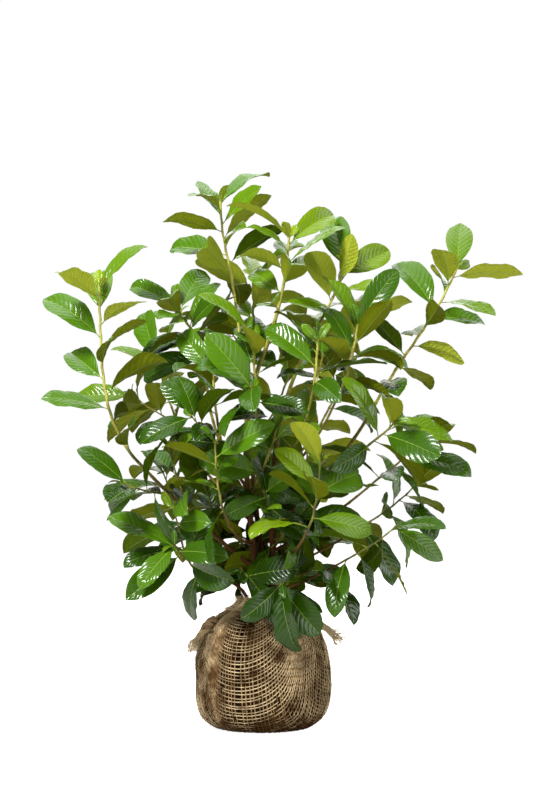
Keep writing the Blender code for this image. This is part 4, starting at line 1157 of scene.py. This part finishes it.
def add_leaves(name, leaves, uppers, lowers, seed):
    """One piece that holds many leaves, each with its own two colours and a pale midrib."""
    points, where = leaf_blades(leaves, np.random.default_rng(seed))
    count, held = points.shape[:2]
    rows = (held - 1) // RING
    offset = (np.arange(count) * held)[:, None, None]
    quads = grid_quads(rows, RING)
    lower = np.tile(np.arange(RING) >= len(UPPER_PLACES) - 1, rows - 1)
    quads[lower] = np.roll(quads[lower], -1, axis=1)  # so both sides crease along the same lines
    turns = np.arange(1, RING - 1)
    root = np.stack([0 * turns, turns + 1, turns], -1)
    fans = np.concatenate([root, ring_fan(held - 1, (rows - 1) * RING, RING, True)])
    finishes = upper_finishes + lower_finishes + rib_finishes
    piece = add_piece(name, finishes, points, (quads + offset).reshape(-1, 4), (fans + offset).reshape(-1, 3))
    rib = len(finishes) - 1
    slots = np.stack([uppers, len(upper_finishes) + lowers, np.full(count, rib)], 1)
    kinds = np.tile(FACE_KINDS, (rows - 1, 1))
    kinds[:2] = 2  # the stalk
    fan_kinds = np.concatenate([np.full(RING - 2, 2), FACE_KINDS])
    marks = np.concatenate([slots[:, kinds.ravel()].ravel(), slots[:, fan_kinds].ravel()])
    mesh = piece.data
    mesh.polygons.foreach_set("material_index", marks.astype(np.int32))
    corner = np.empty(len(mesh.loops), np.int32)
    mesh.loops.foreach_get("vertex_index", corner)
    layer = mesh.uv_layers.new(name="blade")
    layer.data.foreach_set("uv", where[corner % held].astype(np.float32).ravel())
    mesh.set_sharp_from_angle(angle=math.radians(CREASE_ANGLE))
    return piece


leaves = []
for mass in MASSES:
    path, _, twigs, rng = shoots[mass.name]
    corners = frame["nodes"][mass.name].data.vertices
    tips = KDTree(len(corners))
    for corner in corners:
        tips.insert(corner.co, corner.index)
    tips.balance()
    leaves += stem_leaves(mass, tips, path, mass.leaves, mass.phase, STEM_BARE, rng)
    for twig in twigs:
        leaves += stem_leaves(mass, tips, twig, TWIG_LEAVES, mass.phase + TWIG_TURN, TWIG_BARE, rng)
leaves = [leaf for leaf in leaves if not hides_stem(leaf)]
for mass in MASSES:
    path, _, twigs, rng = shoots[mass.name]
    leaves += tip_leaves(mass, path, TIP_LENGTHS, rng)
    for twig in twigs:
        leaves += tip_leaves(mass, twig, TWIG_TIP_LENGTHS, rng)
for sprig in sprigs:
    path, _, _, rng = shoots[sprig.name]
    young = stem_leaves(sprig, None, path, sprig.leaves, sprig.phase, STEM_BARE, rng)
    leaves += [leaf._replace(length=leaf.length * SPRIG_SIZE) for leaf in young]

# The relief of a laurel blade, read from its own map: side veins run from the midrib forward
# to the edge, and the blade puffs up between them.
laurel_veins, given, made = new_group(
    "laurel_veins", {"Gloss": "Float", "Uneven": "Float"}, {"Height": "Float", "Roughness": "Float"}
)
spot = put(laurel_veins, "SeparateXYZ", put(laurel_veins, "UVMap", uv_map="blade"), out=None).outputs
off = maths(laurel_veins, "SUBTRACT", spot["X"], 0.5)
off = maths(laurel_veins, "MULTIPLY", maths(laurel_veins, "ABSOLUTE", off), 2.0)
curved = maths(laurel_veins, "MULTIPLY", maths(laurel_veins, "POWER", off, 2.0), VEIN_CURVE)
forward = maths(laurel_veins, "ADD", maths(laurel_veins, "MULTIPLY", off, VEIN_RISE), curved)
vein = maths(laurel_veins, "MULTIPLY", maths(laurel_veins, "SUBTRACT", spot["Y"], forward), VEINS)
near = maths(laurel_veins, "SUBTRACT", maths(laurel_veins, "FRACT", vein), 0.5)
near = maths(laurel_veins, "MULTIPLY", maths(laurel_veins, "ABSOLUTE", near), 2.0)
puffed = maths(laurel_veins, "SUBTRACT", 1.0, maths(laurel_veins, "POWER", near, VEIN_SHARPNESS))
place = put(laurel_veins, "TexCoord", out="Object")
net = put(laurel_veins, "TexNoise", place, Scale=60, Detail=2, Roughness=0.5)
bloom = put(laurel_veins, "TexNoise", place, Scale=28, Detail=3)
spread = maths(laurel_veins, "MULTIPLY", maths(laurel_veins, "SUBTRACT", bloom, 0.5), given["Uneven"])
gloss = maths(laurel_veins, "ADD", given["Gloss"], spread)
feed(made, Height=maths(laurel_veins, "ADD", puffed, net), Roughness=gloss)


def leaf_finish(name, colour, gloss, puffing, shine):
    """A leaf surface of one plain colour, with the veins' relief and an uneven gloss."""
    finish, tree, shader = new_finish(name)
    veins = put(tree, "Group", node_tree=laurel_veins, Gloss=gloss, Uneven=0.22, out=None).outputs
    relief = put(
        tree, "Bump", Height=veins["Height"], Strength=abs(puffing), Distance=0.0016, invert=puffing < 0
    )
    feed(shader, Base_Color=(*colour, 1), Roughness=veins["Roughness"], Normal=relief)
    feed(shader, Specular_IOR_Level=shine)
    return finish


UPPER_GREENS = (
    ("leaf_deepest", (0.014, 0.044, 0.001)),
    ("leaf_deep", (0.021, 0.064, 0.001)),
    ("leaf_dark", (0.032, 0.090, 0.002)),
    ("leaf_middle", (0.058, 0.145, 0.003)),
    ("leaf_fresh", (0.088, 0.178, 0.002)),
    ("leaf_bright", (0.130, 0.220, 0.003)),
    ("leaf_lime", (0.198, 0.290, 0.006)),
)
UPPER_SHINES = np.linspace(0.36, 0.26, len(UPPER_GREENS))  # old leaves are the glossiest
# The undersides' own colour runs olive to pale green; the yellow-green and lime are lighter still as painted
# light that shines through the blade from behind.
LOWER_GREENS = (
    ("underleaf_olive", (0.068, 0.120, 0.002)),
    ("underleaf_moss", (0.130, 0.160, 0.004)),
    ("underleaf_yellow_green", (0.258, 0.296, 0.016)),
    ("underleaf_lime", (0.365, 0.420, 0.034)),
)
MASS_PLAY, LEAF_PLAY, UNDERSIDE_PLAY = 0.12, 0.13, 0.11  # of a leaf's youth, which sets its greens
LEAST_YOUTH, FOOT_YOUTH = 0.26, -0.42
MARKED_YOUTHS = {"leaves_front_bright": 0.28, "leaves_mid_left": -0.16, "leaves_front_up": -0.12}
OUTWARD_YOUTH, UPWARD_YOUTH = 0.20, 0.5  # up its shoot, and for each metre of height
UPPER_SPREAD, LOWER_SPREAD = (0.06, 0.84), 1.15  # of the youths over the greens
PAINTED_BACKLIGHT_RISE, PAINTED_BACKLIGHT_LEVEL = 0.60, 0.83  # painted light shining through the blade: undersides turn lighter, to lime, with height, about this level

upper_finishes = []
for green, shine in zip(UPPER_GREENS, UPPER_SHINES):
    upper_finishes.append(leaf_finish(*green, gloss=0.22, puffing=0.33, shine=shine))
lower_finishes = [leaf_finish(*green, gloss=0.55, puffing=-0.38, shine=0.05) for green in LOWER_GREENS]
rib_finishes = [leaf_finish("leaf_midrib", (0.21, 0.31, 0.04), gloss=0.4, puffing=0.1, shine=0.2)]

dice = np.random.default_rng(31)
youth = {}
for mass in (*MASSES, *sprigs):
    youth[mass.name] = dice.uniform(-MASS_PLAY, MASS_PLAY) + FOOT_YOUTH * ("foot" in mass.name)
    youth[mass.name] += MARKED_YOUTHS.get(mass.name, 0)
heights = np.array([leaf.root.z for leaf in leaves])
level = np.array([LEAST_YOUTH + youth[leaf.mass] + OUTWARD_YOUTH * leaf.share for leaf in leaves])
level = level + UPWARD_YOUTH * (heights - STRONG_HEIGHTS[0]) + dice.normal(0, LEAF_PLAY, len(leaves))
uppers = ((UPPER_SPREAD[0] + UPPER_SPREAD[1] * level).clip(0, 0.999) * len(UPPER_GREENS)).astype(int)
# Painted light through the blade: undersides are dealt lighter greens the higher they hang.
lowers = LOWER_SPREAD * level + PAINTED_BACKLIGHT_RISE * (heights - PAINTED_BACKLIGHT_LEVEL)
lowers = lowers + dice.normal(0, UNDERSIDE_PLAY, len(leaves))
lowers = (lowers.clip(0, 0.999) * len(LOWER_GREENS)).astype(int)
sides = np.array([leaf.root.x < PARTING for leaf in leaves])
for name, kept, seed in (("laurel_leaves_left", sides, 41), ("laurel_leaves_right", ~sides, 42)):
    chosen = [leaf for leaf, keep in zip(leaves, kept) if keep]
    blades = add_leaves(name, chosen, uppers[kept], lowers[kept], seed)
    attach(blades, "root")
    if kept is sides:
        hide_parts(*[mass.name for mass in MASSES])


# ---------------------------------------------------------------- floor, light and camera
# A plain pale floor under soft studio light from the front left, with weaker lamps low
# down, on the right, behind and overhead. The camera is level with the plant's middle.

VIEW_CENTRE = Vector((0.009, 0.0, 0.654))
VIEW_DISTANCE = 4.5
VIEW_HEIGHT = 1.6  # of the picture, at the plant
FLOOR_REACH = 9
FLOOR_GLOW = 0.95  # lifts the floor to the white of the backdrop, as seen but not as a lamp
CROWN_MIDDLE, BALL_FRONT = (0, 0, 0.6), (0, 0, 0.35)
SOFTBOXES = (  # their places, sizes, powers and what they face
    ("key_softbox", (-1.5, -2.2, 3.2), 0.8, 214, CROWN_MIDDLE),
    ("low_softbox", (-2.4, -2.6, 0.8), 1.8, 34, BALL_FRONT),
    ("fill_softbox", (2.9, -2.4, 1.3), 2.2, 57, CROWN_MIDDLE),
    ("side_softbox", (3.3, 0.9, 1.8), 2.2, 48, CROWN_MIDDLE),
    ("back_softbox", (0.2, 2.8, 2.8), 3.0, 60, CROWN_MIDDLE),
    ("top_softbox", (-0.2, 0.4, 3.8), 3.0, 72, CROWN_MIDDLE),
)

pale_floor, tree, shader = new_finish("pale_floor")
glow = maths(tree, "MULTIPLY", put(tree, "LightPath", out="Is Camera Ray"), FLOOR_GLOW)
feed(shader, Base_Color=(0.60, 0.58, 0.54, 1), Roughness=0.9, Specular_IOR_Level=0.1)
feed(shader, Emission_Color=(1, 1, 1, 1), Emission_Strength=glow)
corners = FLOOR_REACH * np.array([(-1, -1, 0), (1, -1, 0), (1, 1, 0), (-1, 1, 0)])
floor = add_piece("floor", [pale_floor], corners, np.arange(4)[None])

for name, place, size, power, aim in SOFTBOXES:
    lamp = bpy.data.lights.new(name, "AREA")
    lamp.size = size
    lamp.energy = power
    holder = bpy.data.objects.new(name, lamp)
    holder.location = place
    holder.rotation_euler = (Vector(aim) - Vector(place)).to_track_quat("-Z", "Y").to_euler()
    bpy.context.scene.collection.objects.link(holder)

world = bpy.data.worlds.new("studio")
bpy.context.scene.world = world
world.use_nodes = True
tree = world.node_tree
tree.nodes.clear()
dim = put(tree, "Background", (1, 0.97, 0.90, 1), 0.14)
bright = put(tree, "Background", (1, 1, 1, 1), 1.0)
sky = put(tree, "MixShader", put(tree, "LightPath", out="Is Camera Ray"), dim, bright)
put(tree, "OutputWorld", sky, out=None)
bpy.context.scene.view_settings.view_transform = "Standard"

lens = bpy.data.cameras.new("portrait_camera")
lens.sensor_width = 36
lens.lens = lens.sensor_width * VIEW_DISTANCE / VIEW_HEIGHT
camera = bpy.data.objects.new("portrait_camera", lens)
camera.location = VIEW_CENTRE + Vector((0, -VIEW_DISTANCE, 0))
camera.rotation_euler = (math.pi / 2, 0, 0)
bpy.context.scene.collection.objects.link(camera)
bpy.context.scene.camera = camera
